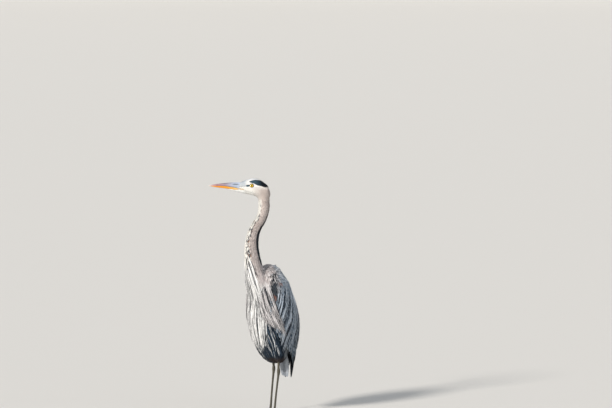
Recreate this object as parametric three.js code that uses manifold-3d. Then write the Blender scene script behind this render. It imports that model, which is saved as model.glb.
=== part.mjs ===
// Great blue heron standing at rest: a still, life-size model in millimetres, +Z up.
// The bird faces -Y and its left side is +X. It stands upright with its neck in an S,
// its head turned to its right and level, its wings folded and its left foot a little ahead.
import * as THREE from "three";
import { mergeVertices } from "three/addons/utils/BufferGeometryUtils.js";
import Module from "manifold-3d";

const wasm = await Module();
wasm.setup();

const { degToRad, lerp, clamp, smoothstep } = THREE.MathUtils;

// Driving dimensions
const gap = 0.3; // kept between pieces that touch
const weld = 1e-3; // vertices closer than this are one
const headTurn = degToRad(40); // to its right
const billRoot = -18; // how far behind its base the bill runs inside the head
const billBase = new THREE.Vector3(-51.5, -132, 986.4); // middle of the bill where the face feathers start
const eyeBack = 53; // from the bill base
const eyeRise = 6.9;
const eyeSide = 17.2;
const eyeRadius = 9;
const headNeckCut = 926;
const upperNeckCut = 826;
const lowerNeckCut = 724;
const mantleTop = 650; // highest point of the folded body
const ventHeight = 224; // lowest point of the trunk
const ankleHeight = 190;
const footRise = 7; // height of the foot's joint
const legSpread = 37; // from the middle plane
const toeRadius = 5; // at its root
const toeTipRadius = 3;

// One smooth rule through a few [position, value] pairs, held at its ends.
function rule(...pairs) {
  const places = pairs.map((pair) => pair[0]);
  const values = pairs.map((pair) => pair[1]);
  const cubic = new THREE.CubicInterpolant(places, values, 1);
  return (x) => cubic.evaluate(clamp(x, places[0], places.at(-1)))[0];
}

// The solid of a closed geometry, with its faces turned outwards.
function toSolid(geometry) {
  const bare = geometry.index ? geometry.toNonIndexed() : geometry.clone();
  bare.deleteAttribute("normal");
  bare.deleteAttribute("uv");
  const merged = mergeVertices(bare, weld);
  const corners = merged.attributes.position;
  const triVerts = new Uint32Array(merged.index.array);
  const [a, b, c] = Array.from({ length: 3 }, () => new THREE.Vector3());
  let volume = 0;
  for (let i = 0; i < triVerts.length; i += 3) {
    a.fromBufferAttribute(corners, triVerts[i]);
    b.fromBufferAttribute(corners, triVerts[i + 1]);
    c.fromBufferAttribute(corners, triVerts[i + 2]);
    volume += a.dot(b.cross(c));
  }
  if (volume < 0) triVerts.reverse();
  return new wasm.Manifold(new wasm.Mesh({ numProp: 3, vertProperties: corners.array, triVerts }));
}

// A closed body from faces given as corner numbers.
function body(points, faces) {
  return toSolid(new THREE.BufferGeometry().setFromPoints(points).setIndex(faces));
}

// A closed body through rings of points, with a fan over each end.
function loft(rings) {
  const count = rings[0].length;
  const points = rings.flat();
  for (const ring of [rings[0], rings.at(-1)]) {
    const middle = new THREE.Vector3();
    for (const point of ring) middle.add(point);
    points.push(middle.divideScalar(count));
  }
  const end = (rings.length - 1) * count;
  const faces = [];
  for (let j = 0; j < count; j++) {
    const k = (j + 1) % count;
    for (let i = 0; i < end; i += count) {
      faces.push(i + j, i + k, i + count + k, i + j, i + count + k, i + count + j);
    }
    faces.push(end + count, k, j, end + count + 1, end + j, end + k);
  }
  return body(points, faces);
}

// A closed body between two grids of points, outer and inner, with walls round their edges.
function slab(across, along, outer, inner) {
  const points = [];
  for (const side of [outer, inner]) {
    for (let i = 0; i <= across; i++) {
      for (let j = 0; j <= along; j++) points.push(side(i / across, j / along));
    }
  }
  const layer = (across + 1) * (along + 1);
  const at = (i, j) => i * (along + 1) + j;
  const faces = [];
  for (let i = 0; i < across; i++) {
    for (let j = 0; j < along; j++) {
      const [a, b, c, d] = [at(i, j), at(i + 1, j), at(i + 1, j + 1), at(i, j + 1)];
      faces.push(a, b, c, a, c, d);
      faces.push(layer + a, layer + c, layer + b, layer + a, layer + d, layer + c);
    }
  }
  const wall = (a, b) => faces.push(a, layer + b, b, a, layer + a, layer + b);
  for (let i = 0; i < across; i++) {
    wall(at(i, 0), at(i + 1, 0));
    wall(at(i + 1, along), at(i, along));
  }
  for (let j = 0; j < along; j++) {
    wall(at(0, j + 1), at(0, j));
    wall(at(across, j), at(across, j + 1));
  }
  return body(points, faces);
}

// Round forms are superellipses: squareness 2 is an ellipse, more is fuller at the corners.
function bent(value, squareness) {
  return Math.sign(value) * Math.abs(value) ** (2 / squareness);
}

// Everything between two heights.
function layerBetween(low, high) {
  const reach = 2000;
  const block = new THREE.BoxGeometry(reach, reach, high - low);
  return toSolid(block.translate(0, 0, (low + high) / 2));
}

function above(height) {
  return layerBetween(height, 2000);
}

// A limb through stations [x, y, z, width, depth], round in section, its depth along the bird's length.
// The radii grow by the given allowance, which cuts a neighbour clear of it.
function limb(stations, sides, steps, grow = 0) {
  const path = new THREE.CatmullRomCurve3(stations.map(([x, y, z]) => new THREE.Vector3(x, y, z)));
  const share = stations.map((_, i) => i / (stations.length - 1));
  const width = rule(...stations.map((station, i) => [share[i], station[3]]));
  const depth = rule(...stations.map((station, i) => [share[i], station[4]]));
  const rings = [];
  for (let i = 0; i <= steps; i++) {
    const t = i / steps;
    const centre = path.getPoint(t);
    const along = path.getTangent(t);
    const sideways = new THREE.Vector3(1, 0, 0).addScaledVector(along, -along.x).normalize();
    const forward = new THREE.Vector3().crossVectors(along, sideways);
    rings.push(
      ring(sides, (angle) =>
        centre
          .clone()
          .addScaledVector(sideways, (width(t) + grow) * Math.cos(angle))
          .addScaledVector(forward, (depth(t) + grow) * Math.sin(angle)),
      ),
    );
  }
  return loft(rings);
}

function ring(sides, pointAt) {
  return Array.from({ length: sides }, (_, i) => pointAt((i / sides) * 2 * Math.PI));
}

// Trunk and folded wings share one plan: at each height a rounded section about the middle plane.
// angle 0 is the breast, 90 degrees the left side and 180 degrees the back.
const breastLine = rule(
  [150, 62], [ventHeight, 2], [248, -35], [270, -57], [303, -76], [340, -90], [412, -105],
  [458, -106], [514, -102], [566, -99], [601, -95], [628, -74], [mantleTop, -24],
);
const trunkBack = rule(
  [ventHeight, 58], [270, 84], [340, 104], [412, 106], [458, 95], [514, 74], [566, 55], [601, 42], [628, 28],
  [mantleTop, -4],
);
const trunkWidth = rule(
  [ventHeight, 18], [248, 40], [270, 54], [303, 68], [340, 80], [412, 91], [458, 93], [514, 90], [566, 81],
  [601, 70], [628, 54], [mantleTop, 14],
);
const wingBack = rule(
  [150, 102], [190, 108], [227, 110], [270, 114], [340, 122], [382, 124], [412, 121], [458, 108], [514, 86],
  [566, 65], [601, 60], [628, 50], [mantleTop, 13],
);
const wingWidth = rule(
  [150, 40], [190, 50], [227, 62], [270, 80], [303, 91], [340, 99], [412, 107], [458, 108], [514, 104],
  [566, 95], [601, 88], [628, 74], [mantleTop, 30],
);

function planPoint(height, angle, widthAt, backAt, grow) {
  const squareness = 2.25;
  const front = breastLine(height);
  const back = backAt(height);
  const middle = lerp(front, back, 0.54);
  const reach = Math.cos(angle) > 0 ? middle - front : back - middle;
  const x = (widthAt(height) + grow) * bent(Math.sin(angle), squareness);
  const y = middle - (reach + grow) * bent(Math.cos(angle), squareness);
  return new THREE.Vector3(x, y, height);
}

function makeTrunk(grow = 0) {
  const rings = [];
  const levels = 14;
  for (let i = 0; i <= levels; i++) {
    const ease = (1 - Math.cos((i / levels) * Math.PI)) / 2; // closer levels at both ends
    const height = lerp(ventHeight, mantleTop, ease);
    const lift = (ease * 2 - 1) * grow;
    const pointAt = (angle) => planPoint(height, angle, trunkWidth, trunkBack, grow).setZ(height + lift);
    rings.push(ring(24, pointAt));
  }
  return loft(rings);
}

// What lies on the body is a layer: a patch of the plan, from a first to a last angle and from a top to a
// foot height at each angle, with its foot cut into rounded feather tips.
function bodyLayer(shape, grow) {
  const { angles, top, foot, widthAt, backAt, across, along, depth, thin, raise, lobes, lobeDepth } = shape;
  const spread = grow / 90; // the allowance as an angle at the body's usual radius
  const place = (u, v, inset) => {
    const [first, last] = angles(v);
    const degrees = lerp(first, last, u);
    const angle = degToRad(degrees) + (u === 1 ? spread : u === 0 ? -spread : 0);
    const scallop = lobeDepth * (1 - Math.abs(Math.sin(u * lobes * Math.PI)));
    const height = lerp(top(degrees) + 3 * grow, foot(degrees) + scallop - 3 * grow, v);
    const [front, uppermost] = [1 - smoothstep(u, 0, 0.15), 1.2 - 1.2 * smoothstep(v, 0, 0.2)];
    const edge = Math.max(front, uppermost, smoothstep(v, 0.8, 1) * 0.6); // how far the layer thins there
    const point = planPoint(height, angle, widthAt, backAt, raise + grow - edge * thin);
    const inward = new THREE.Vector3(-Math.sin(angle), Math.cos(angle), 0);
    point.addScaledVector(inward, inset * lerp(1, 0.45, smoothstep(v, 0.5, 1)));
    if (last > 170) point.x = Math.max(point.x, gap); // the two wings meet along the back
    return point;
  };
  return slab(across, along, (u, v) => place(u, v, 0), (u, v) => place(u, v, depth + 3 * grow));
}

// A left wing lies on the plan from its front edge round to the middle of the back.
// Its lower edge steps down feather by feather to the tips of the primaries.
const covertFoot = rule([48, 520], [60, 455], [75, 405], [90, 365], [120, 315], [150, 288], [179, 330]);
const coverts = {
  angles: () => [48, 179],
  top: rule([48, 588], [65, 618], [85, 632], [120, 641], [179, 645]),
  foot: covertFoot,
  widthAt: wingWidth, backAt: wingBack,
  across: 12, along: 5, depth: 19, thin: 5, raise: 0, lobes: 4, lobeDepth: 9,
};
const flightFeathers = {
  angles: () => [56, 179],
  top: (degrees) => covertFoot(degrees) + 40,
  foot: rule(
    [56, 420], [70, 350], [85, 304], [100, 258], [115, 212], [130, 168], [143, 154], [158, 156], [168, 190],
    [179, 290],
  ),
  widthAt: wingWidth, backAt: wingBack,
  across: 15, along: 3, depth: 9, thin: 3, raise: -5, lobes: 5, lobeDepth: 11,
};

// Long plumes hang from the base of the neck: white ones down the breast, grey ones over the front of each wing.
const breastPlumes = {
  angles: (v) => [lerp(-46, -30, v), lerp(46, 30, v)],
  top: () => 566,
  foot: rule([-46, 372], [-20, 318], [0, 300], [20, 318], [46, 372]),
  widthAt: trunkWidth, backAt: trunkBack,
  across: 14, along: 4, depth: 20, thin: 2, raise: 5, lobes: 7, lobeDepth: 20,
};
const shoulderPlumes = {
  angles: (v) => [lerp(18, 56, v), lerp(70, 74, v)],
  top: rule([18, 560], [50, 612], [74, 606]),
  foot: rule([18, 430], [56, 372], [66, 352], [74, 384]),
  widthAt: wingWidth, backAt: wingBack,
  across: 8, along: 5, depth: 26, thin: 2, raise: 5, lobes: 4, lobeDepth: 18,
};

// The tail hangs from the rump under the wing tips, with the ends of its feathers in a shallow curve.
function makeTail() {
  const rootHeight = 300;
  const tipHeight = 153;
  const halfWidth = rule([0, 26], [0.5, 34], [1, 28]);
  const lean = rule([0, 62], [0.5, 80], [1, 86]);
  const place = (u, v, inset) => {
    const side = u * 2 - 1;
    const notch = 12 * side * side + 4 * (1 - Math.abs(Math.sin(u * 4 * Math.PI)));
    const height = lerp(rootHeight, tipHeight + notch, v);
    const roll = 9 * side * side; // the outer feathers fold under
    return new THREE.Vector3(side * halfWidth(v), lean(v) - roll - inset * lerp(1, 0.4, v), height);
  };
  return slab(12, 4, (u, v) => place(u, v, 0), (u, v) => place(u, v, 8));
}

// The neck rises from the breast, leans forward, then bends back and up into the head.
const neckPath = new THREE.CatmullRomCurve3(
  [
    [0, -50, 505], [0, -75, 570], [0, -94, 628], [2, -107, 690], [5, -112, 739], [9, -106, 787],
    [12, -91, 818], [15, -68, 848], [16, -55, 880], [16, -52, 925], [13, -58, 965],
  ].map(([x, y, z]) => new THREE.Vector3(x, y, z)),
);
const neckDepth = rule(
  [505, 50], [570, 50], [628, 44.5], [690, 35.5], [739, 30.5], [787, 27], [818, 24.5], [848, 23], [880, 23.5],
  [925, 26], [965, 24],
);
const neckWidth = rule(
  [505, 64], [570, 60], [628, 46], [690, 32], [739, 27], [787, 24], [818, 22], [848, 21], [880, 21],
  [925, 23], [965, 20],
);

function makeNeck(grow = 0) {
  const rings = [];
  const steps = 21;
  for (let i = 0; i <= steps; i++) {
    const t = i / steps;
    const centre = neckPath.getPoint(t);
    const along = neckPath.getTangent(t);
    const turn = headTurn * smoothstep(centre.z, 640, 900); // the neck twists with the head
    const sideways = new THREE.Vector3(Math.cos(turn), -Math.sin(turn), 0);
    sideways.addScaledVector(along, -along.dot(sideways)).normalize();
    const forward = new THREE.Vector3().crossVectors(along, sideways);
    rings.push(
      ring(12, (angle) =>
        centre
          .clone()
          .addScaledVector(sideways, (neckWidth(centre.z) + grow) * Math.cos(angle))
          .addScaledVector(forward, (neckDepth(centre.z) + grow) * Math.sin(angle)),
      ),
    );
  }
  return loft(rings);
}

// Head and bill are laid out from the bill base: forward, to the left, and up.
const headForward = new THREE.Vector3(-Math.sin(headTurn), -Math.cos(headTurn), 0);
const headLeft = new THREE.Vector3(Math.cos(headTurn), -Math.sin(headTurn), 0);

function onHead(forward, left, up) {
  return billBase
    .clone()
    .addScaledVector(headForward, forward)
    .addScaledVector(headLeft, left)
    .add(new THREE.Vector3(0, 0, up));
}

const headTop = rule(
  [-134, -34], [-131, -14], [-124, 1], [-112, 14], [-95, 27], [-69, 37], [-45, 35.5], [-20, 28.5], [-4, 20],
  [10, 12], [30, 4], [56, -7],
);
const headBottom = rule(
  [-134, -42], [-122, -50], [-100, -54], [-80, -48], [-60, -38], [-36, -32], [0, -23], [30, -15], [56, -8.2],
);
const headWidth = rule(
  [-134, 10], [-128, 17], [-114, 23], [-90, 26], [-60, 24.5], [-36, 20], [-14, 15.5], [0, 12.6], [20, 8.5],
  [40, 5], [56, 1.5],
);

function makeHead() {
  const rings = [];
  const steps = 14;
  for (let i = 0; i <= steps; i++) {
    const forward = lerp(-134, 56, i / steps);
    const [top, bottom] = [headTop(forward), headBottom(forward)];
    const middle = lerp(bottom, top, 0.48);
    rings.push(
      ring(12, (angle) => {
        const rise = Math.sin(angle) > 0 ? top - middle : middle - bottom;
        const left = headWidth(forward) * bent(Math.cos(angle), 2.2);
        return onHead(forward, left, middle + rise * Math.sin(angle));
      }),
    );
  }
  return loft(rings);
}

// Each half of the bill is a dagger with a flat face along the mouth line.
const mouthLine = rule([-24, -11.4], [-12, -9.2], [30, -1], [64, 3.8], [104, 4.6], [128, 4.5]);
const culmen = rule([-24, 17], [0, 19], [30, 19], [60, 16.4], [104, 11.2], [126, 7], [134, 5.2]);
const keel = rule([-24, -19], [0, -17], [20, -14], [57, -7.6], [104, -1.2], [125, 2.6], [131, 4.1]);
const upperWidth = rule([-24, 9.5], [0, 11.6], [30, 10], [60, 7.8], [100, 4.8], [126, 2], [134, 0.5]);
const lowerWidth = rule([-24, 9], [0, 10.8], [30, 9], [60, 6.6], [100, 4], [123, 1.9], [131, 0.5]);

function makeBillHalf(tip, edgeAt, widthAt, away, grow = 0) {
  const rings = [];
  const steps = 9;
  for (let i = 0; i <= steps; i++) {
    const forward = lerp(billRoot - grow, tip + grow, (i / steps) ** 0.85);
    const mouth = mouthLine(forward) + away * (gap / 2 - grow);
    const rise = Math.abs(edgeAt(forward) + away * grow - mouth);
    rings.push(
      ring(10, (angle) => {
        const left = (widthAt(forward) + grow) * bent(Math.cos(angle), 2.4);
        const up = Math.sin(angle) > 0 ? rise * bent(Math.sin(angle), 1.7) : 0;
        return onHead(forward, left, mouth + away * up);
      }),
    );
  }
  return loft(rings);
}

const makeUpperBill = (grow) => makeBillHalf(134, culmen, upperWidth, 1, grow);
const makeLowerBill = (grow) => makeBillHalf(131, keel, lowerWidth, -1, grow);

function makeEye(side, grow = 0) {
  const ball = new THREE.SphereGeometry(eyeRadius + grow, 12, 7);
  const centre = onHead(-eyeBack, side * eyeSide, eyeRise);
  return toSolid(ball.translate(centre.x, centre.y, centre.z));
}

// Legs: side is 1 on the left and -1 on the right; the rest are places along Y.
const legs = {
  left: { side: 1, thigh: -2, knee: 8, ankle: 10, foot: -15 },
  right: { side: -1, thigh: 24, knee: 42, ankle: 46, foot: 25 },
};

function makeThigh({ side, thigh, knee }) {
  return limb(
    [
      [side * 44, thigh, 350, 34, 46],
      [side * 44, thigh + 4, 305, 33, 44],
      [side * 42, lerp(thigh, knee, 0.6), 268, 24, 32],
      [side * 40, knee, 238, 10, 12],
      [side * 39, knee + 1, 228, 6, 6.5],
    ],
    8,
    4,
  );
}

function makeShank({ side, knee, ankle }, grow = 0) {
  return limb(
    [
      [side * 42, knee - 6, 280, 5, 5.5],
      [side * 40, knee, 236, 4.6, 5.4],
      [side * 38, ankle - 0.5, ankleHeight + 12 + gap - grow, 4.8, 5.6],
    ],
    8,
    3,
    grow,
  );
}

function makeTarsus({ side, ankle, foot }, grow = 0) {
  const bow = lerp(ankle, foot, 0.5);
  return limb(
    [
      [side * 38, ankle - 0.5, ankleHeight + 12, 4.6, 5.4],
      [side * 38, ankle, ankleHeight + 5, 6.6, 7.6],
      [side * 38, ankle, ankleHeight - 6, 6.4, 7.4],
      [side * 38, ankle - 2, ankleHeight - 22, 4.4, 5.2],
      [side * 37.5, bow, 100, 3.7, 4.6],
      [side * legSpread, foot + 4, 32, 4.4, 5.2],
      [side * legSpread, foot + 0.5, footRise + 5 - grow, 5.6, 6.4],
    ],
    8,
    10,
    grow,
  );
}

// Toes: heading in degrees from straight ahead, outwards positive; length without the claw.
const toes = [
  { name: "inner", heading: -20, length: 78, joints: 2 },
  { name: "middle", heading: 10, length: 94, joints: 3 },
  { name: "outer", heading: 42, length: 82, joints: 4 },
  { name: "hind", heading: 176, length: 44, joints: 1 },
];
const clawLength = 15;

function toeLine({ side, foot }, heading) {
  const turn = degToRad(heading) * side;
  const ahead = new THREE.Vector3(Math.sin(turn), -Math.cos(turn), 0);
  const start = new THREE.Vector3(side * legSpread, foot, 0);
  return (distance, height) => start.clone().addScaledVector(ahead, distance).setZ(height);
}

function makeToe(leg, { heading, length, joints }, grow = 0) {
  const line = toeLine(leg, heading);
  const turn = degToRad(heading) * leg.side;
  const sideways = new THREE.Vector3(Math.cos(turn), Math.sin(turn), 0);
  const rings = [];
  const steps = 2 * joints + 1;
  for (let i = 0; i <= steps; i++) {
    const t = i / steps;
    const pad = 0.9 * Math.cos(t * (joints + 1) * 2 * Math.PI); // a bulge under each joint
    const radius = lerp(toeRadius, toeTipRadius, t) + pad * lerp(0.8, 0.5, t) + grow;
    const end = Math.sqrt(1 - smoothstep(t, 0.92, 1) * 0.65);
    const height = (radius - grow) * 0.78 + 3 * (1 - smoothstep(t, 0, 0.2));
    const centre = line((length + grow) * t, height);
    rings.push(
      ring(5, (angle) =>
        centre
          .clone()
          .addScaledVector(sideways, radius * 0.92 * end * Math.cos(angle))
          .add(new THREE.Vector3(0, 0, radius * end * Math.sin(angle))),
      ),
    );
  }
  return loft(rings);
}

function makeFoot(leg) {
  const palm = new THREE.SphereGeometry(1, 6, 5).scale(7.4, 8.6, 7.2);
  palm.translate(leg.side * legSpread, leg.foot, footRise - 1);
  let foot = toSolid(palm);
  for (const toe of toes) foot = foot.add(makeToe(leg, toe));
  return foot.intersect(above(0));
}

function makeClaw(leg, { heading, length }) {
  const line = toeLine(leg, heading);
  const rings = [];
  const steps = 3;
  const turn = degToRad(heading) * leg.side;
  const sideways = new THREE.Vector3(Math.cos(turn), Math.sin(turn), 0);
  for (let i = 0; i <= steps; i++) {
    const t = i / steps;
    const radius = lerp(2.3, 0.35, t ** 1.3);
    const height = 3.2 + 1.2 * Math.sin(t * Math.PI) - 2.1 * t * t;
    const centre = line(length - 3 + (clawLength + 3) * t, height);
    rings.push(
      ring(5, (angle) =>
        centre
          .clone()
          .addScaledVector(sideways, radius * 0.8 * Math.cos(angle))
          .add(new THREE.Vector3(0, 0, radius * Math.sin(angle))),
      ),
    );
  }
  return loft(rings).intersect(above(gap));
}

// Finishes: colour, roughness and metalness of each kind of surface.
const finishes = {
  face: { color: "#e6e6e0", roughness: 0.9 },
  billUpper: { color: "#8f7a70", roughness: 0.45 },
  billLower: { color: "#d9a24a", roughness: 0.45 },
  eye: { color: "#d8b21c", roughness: 0.1 },
  neck: { color: "#9c9192", roughness: 0.9 },
  trunk: { color: "#c4c5c6", roughness: 0.9 },
  plumes: { color: "#a9a3a6", roughness: 0.9 },
  wing: { color: "#7e8890", roughness: 0.85 },
  quills: { color: "#3d474f", roughness: 0.8 },
  tail: { color: "#757a80", roughness: 0.85 },
  thigh: { color: "#94614a", roughness: 0.9 },
  leg: { color: "#4b4a3e", roughness: 0.6 },
  claw: { color: "#2a2724", roughness: 0.4 },
};

const heron = new THREE.Group();

function place(name, solid, finish) {
  const { vertProperties, triVerts } = solid.getMesh();
  const geometry = new THREE.BufferGeometry();
  geometry.setAttribute("position", new THREE.BufferAttribute(vertProperties, 3));
  geometry.setIndex(new THREE.BufferAttribute(triVerts, 1));
  geometry.computeVertexNormals();
  const material = new THREE.MeshStandardMaterial({ metalness: 0, ...finishes[finish] });
  const mesh = new THREE.Mesh(geometry, material);
  mesh.name = name;
  heron.add(mesh);
}

const mirrored = (solid) => solid.mirror([1, 0, 0]);

// Cutting a thin layer can leave crumbs: only its largest body is kept.
function cutBy(solid, cutters) {
  const cut = cutters.reduce((left, cutter) => left.subtract(cutter), solid);
  return cut.decompose().reduce((most, part) => (part.volume() > most.volume() ? part : most));
}

function buildHead(neck) {
  const skull = makeHead().add(neck).intersect(above(headNeckCut + gap / 2));
  const openings = [makeUpperBill(gap), makeLowerBill(gap), makeEye(1, gap), makeEye(-1, gap)];
  const head = openings.reduce((left, opening) => left.subtract(opening), skull);
  place("head", head, "face");
  place("bill_upper", makeUpperBill(0), "billUpper");
  place("bill_lower", makeLowerBill(0), "billLower");
  place("eye_left", makeEye(1), "eye");
  place("eye_right", makeEye(-1), "eye");
}

function buildNeck(neck, trunkGrown) {
  const outside = neck.subtract(trunkGrown).subtract(makeHead().intersect(above(headNeckCut)));
  const half = gap / 2;
  place("neck_upper", outside.intersect(layerBetween(upperNeckCut + half, headNeckCut - half)), "neck");
  place("neck_middle", outside.intersect(layerBetween(lowerNeckCut + half, upperNeckCut - half)), "neck");
  place("neck_lower", outside.intersect(layerBetween(0, lowerNeckCut - half)), "neck");
}

const keepSide = (solid) => solid;
const sides = { left: keepSide, right: mirrored };

// Wing, flight feathers and shoulder plumes lie over each other, each cut by all that it covers.
function buildSides(trunkGrown, neckGrown) {
  for (const [name, turned] of Object.entries(sides)) {
    const layer = (shape, grow = 0) => turned(bodyLayer(shape, grow));
    const under = [trunkGrown, neckGrown];
    place(`wing_${name}`, cutBy(layer(coverts), under), "wing");
    under.push(layer(coverts, gap));
    place(`flight_feathers_${name}`, cutBy(layer(flightFeathers), under), "quills");
    under.push(layer(flightFeathers, gap));
    place(`shoulder_plumes_${name}`, cutBy(layer(shoulderPlumes), under), "plumes");
  }
}

function buildMiddle(trunkGrown, neckGrown) {
  const bothSides = (shape) => [bodyLayer(shape, gap), mirrored(bodyLayer(shape, gap))];
  const breast = cutBy(bodyLayer(breastPlumes, 0), [trunkGrown, neckGrown, ...bothSides(shoulderPlumes)]);
  place("breast_plumes", breast, "trunk");
  place("tail", cutBy(makeTail(), [trunkGrown, ...bothSides(flightFeathers)]), "tail");
}

const trunkGrown = makeTrunk(gap);
const neckGrown = makeNeck(gap);
buildHead(makeNeck());
buildNeck(makeNeck(), trunkGrown);
place("trunk", makeTrunk(), "trunk");
buildSides(trunkGrown, neckGrown);
buildMiddle(trunkGrown, neckGrown);

for (const [name, leg] of Object.entries(legs)) {
  const shankGrown = makeShank(leg, gap);
  place(`thigh_${name}`, makeThigh(leg).subtract(trunkGrown).subtract(shankGrown), "thigh");
  place(`shank_${name}`, makeShank(leg).subtract(trunkGrown), "leg");
  place(`tarsus_${name}`, makeTarsus(leg), "leg");
  place(`foot_${name}`, makeFoot(leg).subtract(makeTarsus(leg, gap)), "leg");
  for (const toe of toes) {
    place(`claw_${toe.name}_${name}`, makeClaw(leg, toe).subtract(makeToe(leg, toe, gap)), "claw");
  }
}

// The origin is under the middle of the whole bird, on the floor.
const box = new THREE.Box3().setFromObject(heron);
const middle = box.getCenter(new THREE.Vector3());
heron.position.set(-middle.x, -middle.y, -box.min.z);

export default heron;
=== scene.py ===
import bmesh
import bpy
import numpy as np
from mathutils import Matrix, Vector
from mathutils.bvhtree import BVHTree


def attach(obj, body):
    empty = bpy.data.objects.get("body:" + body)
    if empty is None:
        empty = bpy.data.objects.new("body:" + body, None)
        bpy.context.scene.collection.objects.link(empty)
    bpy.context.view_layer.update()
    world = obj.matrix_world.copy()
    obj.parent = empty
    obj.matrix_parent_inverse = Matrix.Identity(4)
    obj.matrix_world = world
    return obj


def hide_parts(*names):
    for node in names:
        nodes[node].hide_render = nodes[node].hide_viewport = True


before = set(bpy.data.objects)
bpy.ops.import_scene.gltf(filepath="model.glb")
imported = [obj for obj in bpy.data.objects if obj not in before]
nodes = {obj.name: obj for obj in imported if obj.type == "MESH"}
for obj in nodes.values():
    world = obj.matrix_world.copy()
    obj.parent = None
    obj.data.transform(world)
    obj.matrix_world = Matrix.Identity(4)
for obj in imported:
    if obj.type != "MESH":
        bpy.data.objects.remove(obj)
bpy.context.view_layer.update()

scene = bpy.context.scene

# Shapes are worked out in millimetres on the bird's own axes: middle plane x = 0, facing -y, left side +x.
originShift = np.array([14.60, 56.10, 0.0])


def toScene(points):
    return (np.asarray(points, float) + originShift) / 1000


def toBird(points):
    return np.asarray(points, float) * 1000 - originShift


def tone(hexColour):  # sRGB hex to linear
    rgb = np.array([int(hexColour[i:i + 2], 16) for i in (1, 3, 5)]) / 255
    return np.where(rgb <= 0.04045, rgb / 12.92, ((rgb + 0.055) / 1.055) ** 2.4)


def rise(x, low, high):  # 0 below low, 1 above high, smooth between
    t = np.clip((np.asarray(x, float) - low) / (high - low), 0, 1)
    return t * t * (3 - 2 * t)


def fall(x, low, high):  # 1 below low, 0 above high
    return 1 - rise(x, low, high)


def mix(a, b, share):
    return a + (b - a) * np.asarray(share)[..., None]


def unit(v):
    return v / np.maximum(np.linalg.norm(v, axis=-1, keepdims=True), 1e-9)


def dot(a, b):
    return (a * b).sum(-1)


def stacked(*parts):
    return np.stack(np.broadcast_arrays(*parts), -1)


def rule(*pairs):  # one smooth curve through a few [place, value] pairs, held at its ends
    place = np.array([p[0] for p in pairs], float)
    value = np.array([p[1] for p in pairs], float)
    secant = np.diff(value) / np.diff(place)
    slope = np.concatenate([secant[:1], (secant[1:] + secant[:-1]) / 2, secant[-1:]])

    def at(x):
        x = np.clip(np.asarray(x, float), place[0], place[-1])
        i = np.clip(np.searchsorted(place, x, side="right") - 1, 0, len(place) - 2)
        step = place[i + 1] - place[i]
        t = (x - place[i]) / step
        return ((1 + 2 * t) * (1 - t) ** 2 * value[i] + t * (1 - t) ** 2 * step * slope[i]
                + t * t * (3 - 2 * t) * value[i + 1] - t * t * (1 - t) * step * slope[i + 1])
    return at


def ramp(*stops):  # colours between [place, hex] stops
    place = [s[0] for s in stops]
    colours = np.array([tone(s[1]) for s in stops])
    return lambda x: np.stack([np.interp(x, place, colours[:, i]) for i in range(3)], -1)


# the bird's plan: rounded sections at each height, angle 0 at the breast, 90 at its left, 180 at its back
breastLine = rule((150, 62), (224, 2), (248, -35), (270, -57), (303, -76), (340, -90), (412, -105), (458, -106),
                  (514, -102), (566, -99), (601, -95), (628, -74), (650, -24))
trunkBack = rule((224, 58), (270, 84), (340, 104), (412, 106), (458, 95), (514, 74), (566, 55), (601, 42),
                 (628, 28), (650, -4))
trunkWidth = rule((224, 18), (248, 40), (270, 54), (303, 68), (340, 80), (412, 91), (458, 93), (514, 90),
                  (566, 81), (601, 70), (628, 54), (650, 14))
wingBack = rule((150, 102), (190, 108), (227, 110), (270, 114), (340, 122), (382, 124), (412, 121), (458, 108),
                (514, 86), (566, 65), (601, 60), (628, 50), (650, 13))
wingWidth = rule((150, 40), (190, 50), (227, 62), (270, 80), (303, 91), (340, 99), (412, 107), (458, 108),
                 (514, 104), (566, 95), (601, 88), (628, 74), (650, 30))
covertTop = rule((48, 588), (65, 618), (85, 632), (120, 641), (179, 645))
covertFoot = rule((48, 480), (60, 415), (75, 368), (90, 332), (120, 298), (150, 286), (180, 288))
quillFoot = rule((56, 420), (70, 350), (85, 304), (100, 258), (115, 212), (130, 168), (143, 154), (158, 156),
                 (168, 190), (179, 290))


def planPoint(height, degrees, widthAt, backAt, grow):
    angle = np.radians(degrees)
    front, back = breastLine(height), backAt(height)
    middle = front + (back - front) * 0.54
    reach = np.where(np.cos(angle) > 0, middle - front, back - middle)
    bent = lambda v: np.sign(v) * np.abs(v) ** (2 / 2.25)
    x = (widthAt(height) + grow) * bent(np.sin(angle))
    y = middle - (reach + grow) * bent(np.cos(angle))
    return stacked(x, y, height)


def planAngle(points):
    front, back = breastLine(points[:, 2]), wingBack(points[:, 2])
    middle = front + (back - front) * 0.54
    reach = (back - front) / 2
    return np.degrees(np.arctan2(points[:, 0] / wingWidth(points[:, 2]), -(points[:, 1] - middle) / reach))


# neck and head
headTurn = np.radians(40)  # to its right
neckX = rule((505, 0), (628, 0), (690, 2), (739, 5), (787, 9), (818, 12), (848, 15), (880, 16), (925, 16),
             (965, 13))
neckY = rule((505, -50), (570, -75), (628, -94), (690, -107), (739, -112), (787, -106), (818, -91), (848, -68),
             (880, -55), (925, -52), (965, -58))
billBase = np.array([-51.5, -132, 986.4])
headForward = np.array([-np.sin(headTurn), -np.cos(headTurn), 0])
headLeft = np.array([np.cos(headTurn), -np.sin(headTurn), 0])
headUp = np.array([0, 0, 1.0])


def onHead(forward, left, up):
    forward, left, up = np.broadcast_arrays(forward, left, up)
    return billBase + forward[..., None] * headForward + left[..., None] * headLeft + up[..., None] * headUp


def headPlace(points):  # forward, left and up from the bill base
    away = points - billBase
    return dot(away, headForward), dot(away, headLeft), away[..., 2]


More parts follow.
